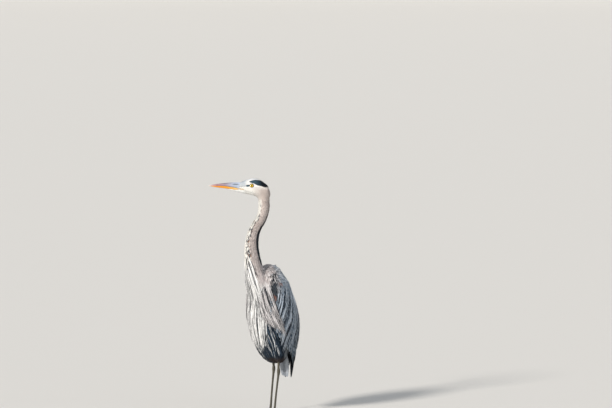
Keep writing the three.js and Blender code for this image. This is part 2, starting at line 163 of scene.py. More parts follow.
def neckPlace(points):  # angle round the neck from its front, distance from its axis, and the way up it
    z = np.clip(points[:, 2], 520, 955)
    for _ in range(2):
        axis = np.stack([neckX(z), neckY(z), z], -1)
        up = unit(np.stack([neckX(z + 3) - neckX(z - 3), neckY(z + 3) - neckY(z - 3), np.full_like(z, 6)], -1))
        z = np.clip(z + dot(points - axis, up) * up[:, 2], 520, 960)
    axis = np.stack([neckX(z), neckY(z), z], -1)
    turn = headTurn * rise(z, 640, 900)
    left = np.stack([np.cos(turn), -np.sin(turn), 0 * turn], -1)
    left = unit(left - up * dot(left, up)[:, None])
    rear = np.cross(up, left)
    away = points - axis
    return np.degrees(np.arctan2(dot(away, left), -dot(away, rear))), np.linalg.norm(away, axis=-1), up


def neckShare(points):  # 1 on the neck, 0 on the body
    angle, distance, _ = neckPlace(points)
    z = points[:, 2]
    inReach = fall(distance, 52, 66) * rise(z, 545, 590) * (np.abs(angle) < 110)
    return np.maximum(rise(z, 640, 665), inReach)


def headShare(points):
    forward = headPlace(points)[0]
    return rise(points[:, 2] + 0.25 * np.clip(forward + 100, -40, 40), 925, 945)


def lie(points):  # which way the feathers lie
    forward = headPlace(points)[0]
    neckUp = neckPlace(points)[2]
    side = np.sign(points[:, 0])
    high = rise(points[:, 2], 540, 640)
    rearSide = rise(points[:, 1], -40, 30)
    body = np.stack([0.3 * side * high, 0.1 + 0.5 * high * rearSide, -np.ones(len(points))], -1)
    over = np.stack([0.25 * side * rise(np.abs(points[:, 0]), 5, 30), 1 + 0 * high, -0.35 + 0 * high], -1)
    body = mix(body, over, rise(points[:, 2], 612, 640))  # over the top of the back they run backwards
    way = mix(body, -neckUp, neckShare(points))
    face = -headForward + np.array([0, 0, -0.22])
    onFace = headShare(points) * rise(forward, -122, -92)
    return unit(mix(way, np.broadcast_to(face, way.shape), onFace))


mouthLine = rule((-24, -11.4), (-12, -9.2), (30, -1), (64, 3.8), (104, 4.6), (128, 4.5))
culmen = rule((-24, 17), (0, 19), (30, 19), (60, 16.4), (104, 11.2), (126, 7), (134, 5.2))
keel = rule((-24, -19), (0, -17), (20, -14), (57, -7.6), (104, -1.2), (125, 2.6), (131, 4.1))
upperWidth = rule((-24, 9.5), (0, 11.6), (30, 10), (60, 7.8), (100, 4.8), (126, 2), (134, 0.5))
lowerWidth = rule((-24, 9), (0, 10.8), (30, 9), (60, 6.6), (100, 4), (123, 1.9), (131, 0.5))


# markings: the colour of skin and coat at a place
stripeUp = rule((-124, 2), (-118, 4.4), (-105, 9.5), (-92, 16.2), (-78, 19.4), (-62, 23.4), (-43, 23.5))
stripeHalf = rule((-124, 1.5), (-118, 4), (-105, 8.8), (-92, 11), (-78, 11.2), (-62, 7.8), (-43, 2.2))
neckFront = rule((560, 50), (640, 52), (740, 50), (800, 48), (850, 53), (900, 58), (945, 62))
# the white front turns a little to its right low down
neckTwist = rule((560, 14), (680, 12), (760, 7), (860, 0))
neckBack = rule((600, 118), (700, 112), (780, 114), (830, 134), (880, 152), (940, 158))
neckSideTone = ramp((560, "#c6bdbc"), (640, "#c8bebb"), (700, "#cabfbb"), (780, "#c9bdb8"), (850, "#cabdb6"),
                    (930, "#c8bbb4"))
# painted shade down the back of the neck: near black from 660 to 790 mm, easing to grey-brown at the nape
neckBackShadeTone = ramp((600, "#59636d"), (660, "#272f38"), (790, "#2b3036"), (850, "#5d5857"), (930, "#8d8079"))
# where the dark side stripe starts
flankFrom = rule((250, 1), (280, 4), (300, 16), (325, 29), (400, 31), (480, 36), (560, 44))


def markings(points):
    forward, _, up = headPlace(points)
    z = points[:, 2]
    angle = neckPlace(points)[0]
    around = np.abs(angle)
    fromFront = np.abs(angle + neckTwist(z))
    neck = mix(neckSideTone(z), tone("#ebe9e3"), fall(fromFront, neckFront(z) - 9, neckFront(z) + 11))
    # painted shade on the back of the neck
    neck = mix(neck, neckBackShadeTone(z), rise(around, neckBack(z) - 6, neckBack(z) + 6))

    head = mix(tone("#f2f1ec"), tone("#d9dfe8"), rise(up, 24, 34) * 0.6)  # crown, with painted bluish shade on top
    # the cheek greys to the nape
    head = mix(head, neckSideTone(z), 0.5 * rise(-forward, 48, 76) * fall(up, -4, 8))
    head = mix(head, neckSideTone(z) * 0.94, rise(-forward, 70, 104) * fall(up, -14, 0))
    head = mix(head, tone("#b7c3cf"), 0.7 * rise(forward, -38, -20) * rise(up, -2, 10))  # painted bluish shade on the brow and forehead
    cheekLine = fall(np.abs(up + 12 - 0.28 * (forward + 12)), 0.6, 2.2)
    head = mix(head, tone("#8f9494"), 0.45 * cheekLine * rise(-forward, 14, 24) * fall(-forward, 56, 76))
    head = mix(head, tone("#dcdfda"), rise(-up, 34, 46) * rise(forward, -80, -60))
    gap = np.abs(up - stripeUp(forward)) - stripeHalf(forward)
    stripe = fall(gap, -1.2, 1.2) * rise(-forward, 38, 46)
    stripeTone = mix(tone("#3f5663"), tone("#141a21"), rise(-forward, 60, 100))
    head = mix(head, stripeTone, stripe)
    lore = fall(np.hypot((forward + 36) / 9.5, (up - 6.5 + 0.1 * (forward + 36)) / 5.2), 0.7, 1.05)
    head = mix(head, tone("#34505c"), lore)
    loreLine = fall(np.abs(up - 5.4 + 0.08 * (forward + 30)), 0.5, 1.7) * rise(forward, -40, -34)
    head = mix(head, tone("#64788a"), 0.75 * loreLine)
    gape = fall(np.abs(up - mouthLine(forward) - 0.3), 1.2, 3.0) * rise(forward, -24, -14)
    head = mix(head, tone("#e2bd86"), gape)

    around = np.abs(planAngle(points))
    body = mix(tone("#dcdddc"), tone("#8d9399"), rise(around, 40, 62))
    body = mix(body, tone("#6f7981"), rise(around, 95, 125))
    shoulder = mix(tone("#bab2b1"), tone("#a3afba"), rise(around, 58, 90))
    body = mix(body, shoulder, np.maximum(rise(z, 540, 590) * rise(around, 24, 44), rise(z, 575, 605)))
    flank = rise(around, flankFrom(z) - 3, flankFrom(z) + 4) * fall(around, 80, 100) * fall(z, 440, 490)
    body = mix(body, tone("#142230"), flank * 0.97)
    body = mix(body, tone("#b9bec2"), fall(z, 232, 262) * rise(around, 95, 120) * 0.7)
    thigh = fall(z, 244, 262) * (np.abs(np.abs(points[:, 0]) - 41) < 26) * (points[:, 1] < 62)
    body = mix(body, tone("#3f3531"), thigh * 0.8)
    colour = mix(body, neck, neckShare(points))
    return mix(colour, head, headShare(points)), np.maximum(lore, gape) * headShare(points)


print("shape and markings ready")


# skin: copies of the flesh solids made one and drawn in by the depth of the coat
skinPlan = {
    "voxel": 2.2,  # mm
    "overlap": 0.7,  # each solid swells by this, to fuse with its neighbours
    "smoothing": 10,
    "headDepth": 1.3, "neckDepth": 3.2, "bodyDepth": 7.5, "thighDepth": 3.0,
}


def placed(name, mesh):
    piece = bpy.data.objects.new(name, mesh)
    scene.collection.objects.link(piece)
    return piece


def gathered(name, nodeNames, overlap):  # the nodes' solids in one mesh, each swollen by overlap
    joined = bmesh.new()
    for nodeName in nodeNames:
        part = bmesh.new()
        part.from_mesh(nodes[nodeName].data)
        bmesh.ops.remove_doubles(part, verts=part.verts, dist=2e-5)
        bmesh.ops.recalc_face_normals(part, faces=part.faces)
        part.normal_update()
        for vertex in part.verts:
            vertex.co += vertex.normal * overlap / 1000
        spare = bpy.data.meshes.new("spare")
        part.to_mesh(spare)
        joined.from_mesh(spare)
        part.free()
        bpy.data.meshes.remove(spare)
    mesh = bpy.data.meshes.new(name)
    joined.to_mesh(mesh)
    joined.free()
    return placed(name, mesh)


def fused(piece, voxel, smoothing):  # the outer surface of all its solids as one even mesh
    remesh = piece.modifiers.new("fuse", "REMESH")
    remesh.mode = "VOXEL"
    remesh.voxel_size = voxel / 1000
    smooth = piece.modifiers.new("even", "SMOOTH")
    smooth.factor = 0.5
    smooth.iterations = smoothing
    made = bpy.data.meshes.new_from_object(piece.evaluated_get(bpy.context.evaluated_depsgraph_get()))
    piece.modifiers.clear()
    work = bmesh.new()
    work.from_mesh(made)
    work.verts.ensure_lookup_table()
    left = set(range(len(work.verts)))
    largest = []
    while left:  # keep the outer shell, drop sealed pockets
        found = [left.pop()]
        for index in found:
            for edge in work.verts[index].link_edges:
                other = edge.other_vert(work.verts[index]).index
                if other in left:
                    left.discard(other)
                    found.append(other)
        largest = max(largest, found, key=len)
    keep = set(largest)
    bmesh.ops.delete(work, geom=[v for v in work.verts if v.index not in keep], context="VERTS")
    work.to_mesh(made)
    work.free()
    piece.data = made
    return piece


def readPoints(mesh, what="co"):
    values = np.empty(len(mesh.vertices) * 3, np.float32)
    mesh.vertices.foreach_get(what, values)
    return values.reshape(-1, 3).astype(float)


def writePoints(mesh, points):
    mesh.vertices.foreach_set("co", toScene(points).astype(np.float32).ravel())
    mesh.update()


def setTint(mesh, colours):
    layer = mesh.color_attributes.new("tint", "FLOAT_COLOR", "POINT")
    rgba = np.ones((len(colours), 4), np.float32)
    rgba[:, :3] = colours
    layer.data.foreach_set("color", rgba.ravel())


def smoothShaded(mesh):
    mesh.polygons.foreach_set("use_smooth", np.ones(len(mesh.polygons), bool))


def closedForm(name, points, faces, colours=None):  # a smooth closed mesh with its faces turned outwards
    mesh = bpy.data.meshes.new(name)
    mesh.from_pydata(toScene(points).tolist(), [], faces)
    work = bmesh.new()
    work.from_mesh(mesh)
    bmesh.ops.recalc_face_normals(work, faces=work.faces)
    work.to_mesh(mesh)
    work.free()
    smoothShaded(mesh)
    if colours is not None:
        setTint(mesh, colours)
    return placed(name, mesh)


fleshNodes = ["head", "neck_upper", "neck_middle", "neck_lower", "trunk", "wing_left", "wing_right",
              "thigh_left", "thigh_right"]
skin = fused(gathered("skin", fleshNodes, skinPlan["overlap"]), skinPlan["voxel"], skinPlan["smoothing"])


def coatDepth(points):
    thigh = fall(points[:, 2], 240, 275) * (np.abs(np.abs(points[:, 0]) - 41) < 36)
    depth = skinPlan["bodyDepth"] + (skinPlan["thighDepth"] - skinPlan["bodyDepth"]) * thigh
    depth = depth + (skinPlan["neckDepth"] - depth) * neckShare(points) * rise(points[:, 2], 600, 720)
    return depth + (skinPlan["headDepth"] - depth) * headShare(points)


def evened(points, weight, rounds):  # evens the skin out only where weight is above 0
    ends = np.empty(len(skin.data.edges) * 2, np.int32)
    skin.data.edges.foreach_get("vertices", ends)
    a, b = ends[0::2], ends[1::2]
    count = np.bincount(ends, minlength=len(points))[:, None]
    for _ in range(rounds):
        total = np.stack([np.bincount(a, part[b], len(part)) + np.bincount(b, part[a], len(part))
                          for part in points.T], -1)
        points = points + (total / count - points) * (weight * 0.7)[:, None]
    return points


# the joins of neck to head and neck to breast flow into each other
skinPoints = toBird(readPoints(skin.data))
forwards, lefts, ups = headPlace(skinPoints)
nape = fall(np.abs(skinPoints[:, 2] - 935), 14, 30) * rise(-forwards, 52, 76)
breastJoin = fall(np.abs(skinPoints[:, 2] - 512), 30, 62) * fall(np.abs(planAngle(skinPoints)), 45, 70)
skinPoints = evened(skinPoints, np.maximum(nape, breastJoin), 70)
writePoints(skin.data, skinPoints)
# a soft brow over each eye, and the fold that runs back from the corner of the mouth
sideways = rise(np.abs(lefts), 6, 11)
brow = 1.5 * np.exp(-((forwards + 53) / 13) ** 2 - ((ups - 17.5) / 3.2) ** 2) * sideways
fold = -0.9 * np.exp(-((ups + 13 - 0.2 * (forwards + 20)) / 1.8) ** 2)
fold = fold * fall(np.abs(forwards + 36), 12, 24) * sideways
skinPoints += readPoints(skin.data, "normal") * (
    brow + fold - coatDepth(skinPoints) - skinPlan["overlap"] * 0.5)[:, None]
# the front end of the chin runs out into the bill
skinPoints += headUp * (2.0 * rise(forwards, 44, 56))[:, None]
writePoints(skin.data, skinPoints)
# the skin takes the coat's markings, darkened by a fifth as painted shade between the feathers
setTint(skin.data, markings(skinPoints)[0] * 0.8)
smoothShaded(skin.data)
skinNormals = readPoints(skin.data, "normal")
skinFaces = [tuple(face.vertices) for face in skin.data.polygons]
skinTree = BVHTree.FromPolygons([Vector(p) for p in skinPoints], skinFaces)
faceNormals = unit(np.array([skinNormals[list(face)].mean(0) for face in skinFaces]))
print("skin:", len(skinPoints), "points")


def onSkin(points):
    places = np.empty_like(points)
    faces = np.empty(len(points), int)
    for i, point in enumerate(points.tolist()):
        place, _, face, _ = skinTree.find_nearest(point)
        places[i] = place
        faces[i] = face
    return places, faceNormals[faces]


corners = [skinPoints[[face[i] for face in skinFaces]] for i in range(3)]
faceAreas = np.linalg.norm(np.cross(corners[1] - corners[0], corners[2] - corners[0]), axis=1)


def scatter(spacing, keep, seed):  # roots spread evenly over the part of the skin that keep chooses
    chance = np.random.default_rng(seed)
    count = int(faceAreas.sum() / spacing ** 2 * 7)
    pick = chance.choice(len(faceAreas), count, p=faceAreas / faceAreas.sum())
    a, b = chance.random((2, count, 1))
    flip = a + b > 1
    a, b = np.where(flip, 1 - a, a), np.where(flip, 1 - b, b)
    fan = chance.random(count) < 0.5  # either half of a four-sided face
    first = corners[0][pick]
    faceEnd = np.array([skinFaces[i][-1] for i in pick])
    second = np.where(fan[:, None], corners[1][pick], corners[2][pick])
    third = np.where(fan[:, None], corners[2][pick], skinPoints[faceEnd])
    spots = first + (second - first) * a + (third - first) * b
    cell = np.floor(spots / spacing + 0.5).astype(int)
    off = np.linalg.norm(spots / spacing - cell, axis=1)
    order = np.argsort(off)
    _, firstOfCell = np.unique(cell[order], axis=0, return_index=True)
    spots = spots[order[firstOfCell]]
    return spots[keep(spots)]


# feathers: each is a thin vane laid along the skin, with its root low and its tip over the next root
def walk(roots, heading, length, steps):
    places, normals = onSkin(roots)
    way = heading(places)
    way = unit(way - normals * dot(way, normals)[:, None])
    line, upright = [places], [normals]
    for _ in range(steps):
        ahead, upAhead = onSkin(places + way * (length / steps)[:, None])
        way = unit(way + heading(ahead))
        way = unit(way - upAhead * dot(way, upAhead)[:, None])
        places = ahead
        line.append(ahead)
        upright.append(upAhead)
    return np.stack(line, 1), np.stack(upright, 1)


def leaf(t, fullAt=0.45, point=0.8):  # half width along a vane, from its root to its tip
    grow = np.clip(t / fullAt, 0, 1) ** 0.5
    fade = np.clip((1 - t) / (1 - fullAt), 0, 1) ** point
    return np.where(t < fullAt, 0.35 + 0.65 * grow, fade)


def makeVanes(name, line, upright, half, colours, unwrap, columns=3, camber=0.2, roll=None, seed=1):
    # line and upright: feathers x rows x 3; half: feathers x rows; colours: feathers x rows x columns x 3
    count, rows, _ = line.shape
    chance = np.random.default_rng(seed)
    along = np.gradient(line, axis=1)
    side = unit(np.cross(along, upright))
    up = unit(np.cross(side, along))
    if roll is not None:
        angle = np.radians(roll)[:, None, None]
        side, up = side * np.cos(angle) + up * np.sin(angle), up * np.cos(angle) - side * np.sin(angle)
    c = np.linspace(-1, 1, columns)[None, None, :, None]
    width = half[:, :, None, None]
    points = line[:, :, None] + side[:, :, None] * width * c - up[:, :, None] * camber * width * c * c
    index = np.arange(count * rows * columns).reshape(count, rows, columns)
    quads = np.stack([index[:, :-1, :-1], index[:, 1:, :-1], index[:, 1:, 1:], index[:, :-1, 1:]], -1)
    quads = quads.reshape(-1, 4)
    mesh = bpy.data.meshes.new(name)
    mesh.vertices.add(index.size)
    mesh.vertices.foreach_set("co", toScene(points.reshape(-1, 3)).astype(np.float32).ravel())
    mesh.loops.add(quads.size)
    mesh.loops.foreach_set("vertex_index", quads.ravel().astype(np.int32))
    mesh.polygons.add(len(quads))
    mesh.polygons.foreach_set("loop_start", np.arange(0, quads.size, 4, dtype=np.int32))
    smoothShaded(mesh)
    mesh.update(calc_edges=True)
    setTint(mesh, np.clip(np.broadcast_to(colours, points.shape), 0, 1).reshape(-1, 3))
    steps = np.linalg.norm(np.diff(line, axis=1), axis=-1)
    travel = np.concatenate([np.zeros((count, 1)), np.cumsum(steps, 1)], 1)
    vane = stacked((width * c)[..., 0], travel[:, :, None], chance.random((count, 1, 1)) * 40)
    # mm across, mm along, and a number of its own
    layer = mesh.attributes.new("vane", "FLOAT_VECTOR", "POINT")
    layer.data.foreach_set("vector", vane.astype(np.float32).ravel())
    # Bake map: a patch 0.003 across at the root's place on the unwrapped skin
    u, v = unwrap(line[:, 0])
    across = np.broadcast_to(c[..., 0] * 0.0015, points.shape[:3])
    down = np.broadcast_to(np.linspace(-0.0015, 0.0015, rows)[None, :, None], points.shape[:3])
    spots = np.stack([u[:, None, None] + across, v[:, None, None] + down], -1).reshape(-1, 2)
    mesh.uv_layers.new(name="OFBake").data.foreach_set("uv", spots[quads.ravel()].astype(np.float32).ravel())
    print(name + ":", count, "feathers,", len(quads) * 2, "triangles")
    return placed(name, mesh)


def inside(share):
    return 0.01 + 0.98 * np.clip(share, 0, 1)


def unwrapHead(points):
    forward, left, up = headPlace(points)
    return inside(np.arctan2(left, up + 6) / (2 * np.pi) + 0.5), inside((forward + 136) / 194)


def unwrapNeck(points):
    angle, _, _ = neckPlace(points)
    return inside(angle / 360 + 0.5), inside((points[:, 2] - 540) / 400)


def unwrapBody(points):
    return inside(planAngle(points) / 360 + 0.5), inside((points[:, 2] - 150) / 500)


def vary(colours, chance, amount):
    return colours * (1 + (chance.random((len(colours), 1)) - 0.5) * 2 * amount)


def smallCoat(name, roots, length, half, lift, rows, columns, tips, unwrap, seed, stray=7, paint=None,
              point=0.8):
    chance = np.random.default_rng(seed)
    count = len(roots)
    length = length * (0.85 + 0.3 * chance.random(count))
    drift = chance.normal(0, stray, count)
    line, upright = walk(roots, lie, length, rows - 1)
    # a little stray to each side, growing towards the tip
    t = np.linspace(0, 1, rows)[None, :]
    side = np.cross(np.gradient(line, axis=1), upright)
    line = line + unit(side) * (np.tan(np.radians(drift))[:, None] * length[:, None] * t)[..., None]
    height = lift[0] + (lift[1] - lift[0]) * t ** 0.8
    height = height + chance.normal(0, 0.08, (count, 1)) * lift[1] * t
    line = line + upright * height[..., None]
    # what shows of a feather is its outer part, so it takes the colour there
    shown = line[:, int(rows * 0.62)]
    base = markings(shown)[0]
    if paint is not None:
        base = paint(shown, base, chance)
    base = vary(base, chance, tips["vary"])
    c = np.abs(np.linspace(-1, 1, columns))[None, None, :]
    pale = tips["edge"] * rise(t, 0.3, 1)[..., None] * (0.4 + 0.6 * c)
    colours = base[:, None, None, :] * (1 + pale)[..., None]
    # painted shade: each feather darkens towards its root, under the feathers lying over it
    colours = colours * (1 - tips["rootShade"] * fall(t, 0, 0.6))[..., None, None]
    return makeVanes(name, line, upright, half[:, None] * leaf(t, point=point), colours, unwrap, columns,
                     roll=chance.normal(0, 6, count), seed=seed)


# bill: two dagger halves that meet along the mouth line
def inBill(points, spare):
    forward, left, up = headPlace(points)
    return ((forward > -20) & (up < culmen(forward) + spare) & (up > keel(forward) - spare)
            & (np.abs(left) < upperWidth(forward) + spare))


eyePlan = {"back": 53, "rise": 6.9, "side": 17.2, "radius": 9}
eyeCentres = {side: onHead(-eyePlan["back"], way * eyePlan["side"], eyePlan["rise"])
              for side, way in (("left", 1), ("right", -1))}

headCoat = {"spacing": 1.6, "half": 0.95, "lift": (0.1, 1.5),
            "tips": {"edge": 0.05, "vary": 0.05, "rootShade": 0.12}}
neckCoat = {"spacing": 2.6, "fineSpacing": 2.0, "lift": (0.2, 3.6),
            "tips": {"edge": 0.12, "vary": 0.12, "rootShade": 0.25}}
bodyCoat = {"spacing": 4.7, "lift": (0.4, 7.0), "tips": {"edge": 0.16, "vary": 0.12, "rootShade": 0.3}}


def onFace(points):
    clear = markings(points)[1] < 0.5
    for centre in eyeCentres.values():
        clear &= np.linalg.norm(points - centre, axis=1) > eyePlan["radius"] + 0.6
    return (headShare(points) > 0.5) & clear & ~inBill(points, -2.4)


def onNeck(points):
    return (headShare(points) <= 0.5) & (neckShare(points) > 0.5)


def onBody(points):
    around, z = np.abs(planAngle(points)), points[:, 2]
    outside = planPoint(z, around, wingWidth, wingBack, 0)
    sunk = np.hypot(np.abs(points[:, 0]) - outside[:, 0], points[:, 1] - outside[:, 1])
    underWing = (around > 52) & (sunk < 13) & (z < covertTop(around) - 8)
    return (headShare(points) <= 0.5) & (neckShare(points) <= 0.5) & ~underWing


def cells(a, b, seed):  # one number from 0 to 1 for each cell of a slipped grid
    column = np.floor(a)
    place = column * 12.9898 + np.floor(b + 0.37 * column) * 78.233 + seed
    return np.modf(np.abs(np.sin(place) * 43758.5453))[0]


def streaks(angle, z, period):  # soft lengthwise streaks round the body, from 0 to 1
    wave = np.sin(2 * np.pi * angle / period + 1.4 * np.sin(angle * 0.31 + z / 55) + 0.8 * np.sin(z / 31))
    return 0.5 + 0.5 * wave


def paintNeck(roots, base, chance):
    angle, _, _ = neckPlace(roots)
    around, z = np.abs(angle), roots[:, 2]
    count, front = len(z), neckFront(roots[:, 2])
    fromFront = np.abs(angle + neckTwist(z))
    edge = rise(fromFront, front * 0.12, front * 0.35) * fall(fromFront, front * 1.05, front * 1.3)
    marked = cells(angle / 4.2, z / 10, 3) < 0.44 * edge * (1 - 0.9 * rise(z, 790, 890))
    dark = marked & (chance.random(count) < 0.85)
    spots = mix(tone("#2b3039"), tone("#79777b"), 0.7 * chance.random(count))
    base = np.where(dark[:, None], spots, base)
    rusty = (cells(angle / 5, z / 9, 8) < 0.14 * edge * fall(z, 840, 910)) & (z > 680) & ~dark
    base = np.where(rusty[:, None], tone("#8a7060"), base)
    flecks = (around > front) & (around < neckBack(z))
    vein = streaks(angle * 1.0, z * 0.8, 21)  # loose lengthwise streaks on the sides
    light = (chance.random(count) < 0.5 * rise(vein, 0.6, 0.95)) & flecks
    base = np.where(light[:, None], mix(base, tone("#e6e0dc"), 0.6 + 0 * z), base)
    deep = (chance.random(count) < 0.5 * rise(1 - vein, 0.6, 0.95)) & flecks
    return np.where(deep[:, None], base * 0.55, base)


def patchAt(angle, z):  # the black patch at the bend of the wing
    return fall(np.abs(angle - 62), 7, 12) * rise(z, 520, 536) * fall(z, 632, 650)


def paintBody(roots, base, chance):
    around, z = np.abs(planAngle(roots)), roots[:, 2]
    count = len(z)
    breast = fall(around, flankFrom(z) - 4, flankFrom(z) + 4) * fall(z, 540, 570)
    dark = chance.random(count) < 0.45 * breast
    base = np.where(dark[:, None], tone("#3a424b"), base)
    base = mix(base, tone("#161f29"), 0.85 * patchAt(around, z) * (z > 560) * (z < 618))
    pick = chance.random(count)
    base = np.where(((pick < 0.28) & (z > 530))[:, None], base * 0.5, base)
    return np.where(((pick > 0.6) & (z > 530))[:, None], mix(base, tone("#dcd9d8"), 0.6 + 0 * z), base)


headRoots = scatter(headCoat["spacing"], onFace, 11)
headForwards, _, headUps = headPlace(headRoots)
headLengths = 3.4 + 3.2 * rise(-headForwards, 0, 50) + 3 * rise(-headForwards, 80, 125)
headLengths = headLengths + 4 * rise(-headForwards, 95, 125) * rise(headUps, -6, 4)
headHalves = headCoat["half"] * (0.85 + 0.3 * rise(-headForwards, 30, 100))
headFeathers = smallCoat("head_feathers", headRoots, headLengths, headHalves,
                         headCoat["lift"], 4, 2, headCoat["tips"], unwrapHead, 12, stray=6)


# a wedge of white chin feathers runs forward under the lower half of the bill
headBottom = rule((-60, -38), (-36, -32), (0, -23), (30, -15), (56, -8.2))
chinWidth = rule((-30, 15), (0, 11.6), (20, 8.2), (40, 4.8), (56, 1.2))


def growChin(seed):
    chance = np.random.default_rng(seed)
    count, rows = 1500, 4
    forward = 53 - 71 * chance.random(count)[:, None] ** 0.85
    angle = np.radians(chance.uniform(-96, 96, count))[:, None]
    t = np.linspace(0, 1, rows)[None, :]
    place = forward - 7.5 * t
    top = keel(place) + 1.2
    depth = top - headBottom(place) - 1.0 + 1.2 * t
    line = onHead(place, (chinWidth(place) - 0.8 + 0.9 * t) * np.sin(angle), top - depth * np.cos(angle))
    upright = np.sin(angle)[..., None] * headLeft - np.cos(angle)[..., None] * headUp
    upright = np.broadcast_to(upright, line.shape)
    colours = vary(np.broadcast_to(tone("#eeefec"), (count, 3)), chance, 0.06)[:, None, None, :]
    half = 0.9 * leaf(t) * np.ones((count, 1))
    return makeVanes("chin_feathers", line, upright, half, colours, unwrapHead, 2,
                     seed=seed)


chinFeathers = growChin(15)

fineNeck = 868  # above this height the feathers are closer set
neckRoots = np.concatenate([
    scatter(neckCoat["fineSpacing"], lambda points: onNeck(points) & (points[:, 2] > fineNeck), 23),
    scatter(neckCoat["spacing"], lambda points: onNeck(points) & (points[:, 2] <= fineNeck), 21)])
neckLengths = rule((560, 27), (640, 20), (730, 13), (800, 10.5), (880, 8.6), (935, 7.6))(neckRoots[:, 2])
neckHalves = rule((600, 2.3), (700, 1.7), (780, 1.4), (870, 1.15), (935, 0.95))(neckRoots[:, 2])
neckFeathers = smallCoat("neck_feathers", neckRoots, neckLengths, neckHalves, neckCoat["lift"], 5, 3,
                         neckCoat["tips"], unwrapNeck, 22, stray=6, paint=paintNeck, point=1.0)

bodyRoots = scatter(bodyCoat["spacing"], onBody, 31)
bodyLengths = 24 + 12 * fall(bodyRoots[:, 2], 300, 560) - 10 * fall(bodyRoots[:, 2], 240, 275)
bodyHalves = 2.7 + 2.1 * rise(np.abs(planAngle(bodyRoots)), 40, 100)
bodyFeathers = smallCoat("body_feathers", bodyRoots, bodyLengths, bodyHalves, bodyCoat["lift"], 6, 3,
                         bodyCoat["tips"], unwrapBody, 32, stray=8, paint=paintBody, point=0.9)


# folded wings: rows of coverts that grow longer down the wing
covertPlan = {"rows": 21, "acrossTop": 6, "acrossFoot": 12, "lift": (0.3, 7.5), "camber": 0.22}
wingTone = ramp((290, "#2c4053"), (380, "#3b5066"), (480, "#566b80"), (560, "#78899b"), (620, "#93a1b0"))


def paintWing(angle, z, chance):
    # painted shade: darker towards the back edge of the wing, low down
    base = mix(wingTone(z), tone("#1d2a37"), rise(angle, 104, 130) * fall(z, 440, 540) * 0.7)
    base = mix(base, tone("#a39b99"), fall(angle, 66, 92) * rise(z, 525, 575) * 0.8)
    base = mix(base, tone("#161f29"), patchAt(angle, z))
    rust = fall(np.abs(angle - 61), 3, 6) * fall(np.abs(z - 540), 6, 13)
    rust = np.maximum(rust, fall(np.abs(angle - 81), 3, 6) * fall(np.abs(z - 600), 4, 9))
    base = mix(base, tone("#8a5c4c"), rust * 0.8)
    cluster = 1 + 0.26 * np.sin(angle / 4.1 + z / 23) * np.sin(z / 13 - angle / 7.3)
    return vary(base * cluster[:, None], chance, 0.28)


def planPatch(angle, z, grow, way):
    points = planPoint(z, angle, wingWidth, wingBack, grow)
    upright = unit(planPoint(z, angle, wingWidth, wingBack, grow + 1) - points)
    flip = np.array([way, 1, 1])
    return points * flip, upright * flip


def growCoverts(side, way, seed):
    chance = np.random.default_rng(seed)
    angles, heights, reaches, halves = [], [], [], []
    for row in range(covertPlan["rows"]):
        share = (row + 0.3) / covertPlan["rows"]
        across = covertPlan["acrossTop"] + (covertPlan["acrossFoot"] - covertPlan["acrossTop"]) * share
        spread = np.degrees(across / 100)
        angle = np.arange(49.5 + spread * 0.5 * (row % 2), 184, spread)
        angle = angle + chance.normal(0, spread * 0.08, len(angle))
        span = (covertTop(angle) - covertFoot(angle)) / covertPlan["rows"]
        heights.append(covertTop(angle) - 4 - (covertTop(angle) - covertFoot(angle)) * share ** 1.08
                       + chance.normal(0, 0.1, len(angle)) * span)
        angles.append(angle)
        reaches.append(12 + 2.3 * span + 10 * rise(share, 0.8, 1))
        halves.append(np.full(len(angle), across * 0.66) * np.clip(span / 12, 0.6, 1))
    angle, z, reach, half = map(np.concatenate, (angles, heights, reaches, halves))
    roots = planPoint(z, angle, wingWidth, wingBack, -skinPlan["bodyDepth"])
    roots[:, 0] *= way

    def heading(points):  # down, swinging forward a little on the lower wing
        forward = np.array([0, -0.22, -1]) * np.ones_like(points)
        return unit(mix(lie(points), unit(forward), 0.6 * rise(-points[:, 2], -560, -430)))

    rows, columns = 8, 5
    line, upright = walk(roots, heading, reach * (0.92 + 0.16 * chance.random(len(roots))), rows - 1)
    t = np.linspace(0, 1, rows)[None, :]
    # the lower rows reach past the flesh of the wing, so they follow the wing's own outline
    swing = 0.07 * np.sin(np.radians(angle)) * reach
    laid, laidUp = planPatch(angle[:, None] - swing[:, None] * t, z[:, None] - reach[:, None] * t,
                             -skinPlan["bodyDepth"], way)
    low = rise(-z, -565, -515)[:, None]
    line, upright = mix(line, laid, low + 0 * t), unit(mix(upright, laidUp, low + 0 * t))
    lift = covertPlan["lift"]
    line = line + upright * (lift[0] + (lift[1] - lift[0]) * t ** 0.9)[..., None]
    base = paintWing(angle, z, chance)
    c = np.abs(np.linspace(-1, 1, columns))[None, None, :]
    edge = np.maximum(rise(c, 0.35, 1), rise(t, 0.7, 1)[..., None] * 0.8) * rise(t, 0.2, 0.6)[..., None]
    edging = chance.uniform(0.3, 0.9, len(roots))[:, None, None] * edge
    edging = edging * (1 - 0.8 * patchAt(angle, z))[:, None, None]
    colours = mix(base[:, None, None, :], tone("#ccd4da"), edging)
    # painted shade: each covert darkens towards its root, under the row above
    colours = colours * (1 - 0.45 * fall(t, 0.2, 0.85))[..., None, None]
    shaft = (c < 0.1) * 0.28
    colours = colours * (1 - shaft)[..., None]
    return makeVanes("coverts_" + side, line, upright, half[:, None] * leaf(t, 0.55, 0.6), colours, unwrapBody,
                     columns, covertPlan["camber"], roll=chance.normal(4 * way, 4, len(roots)), seed=seed)


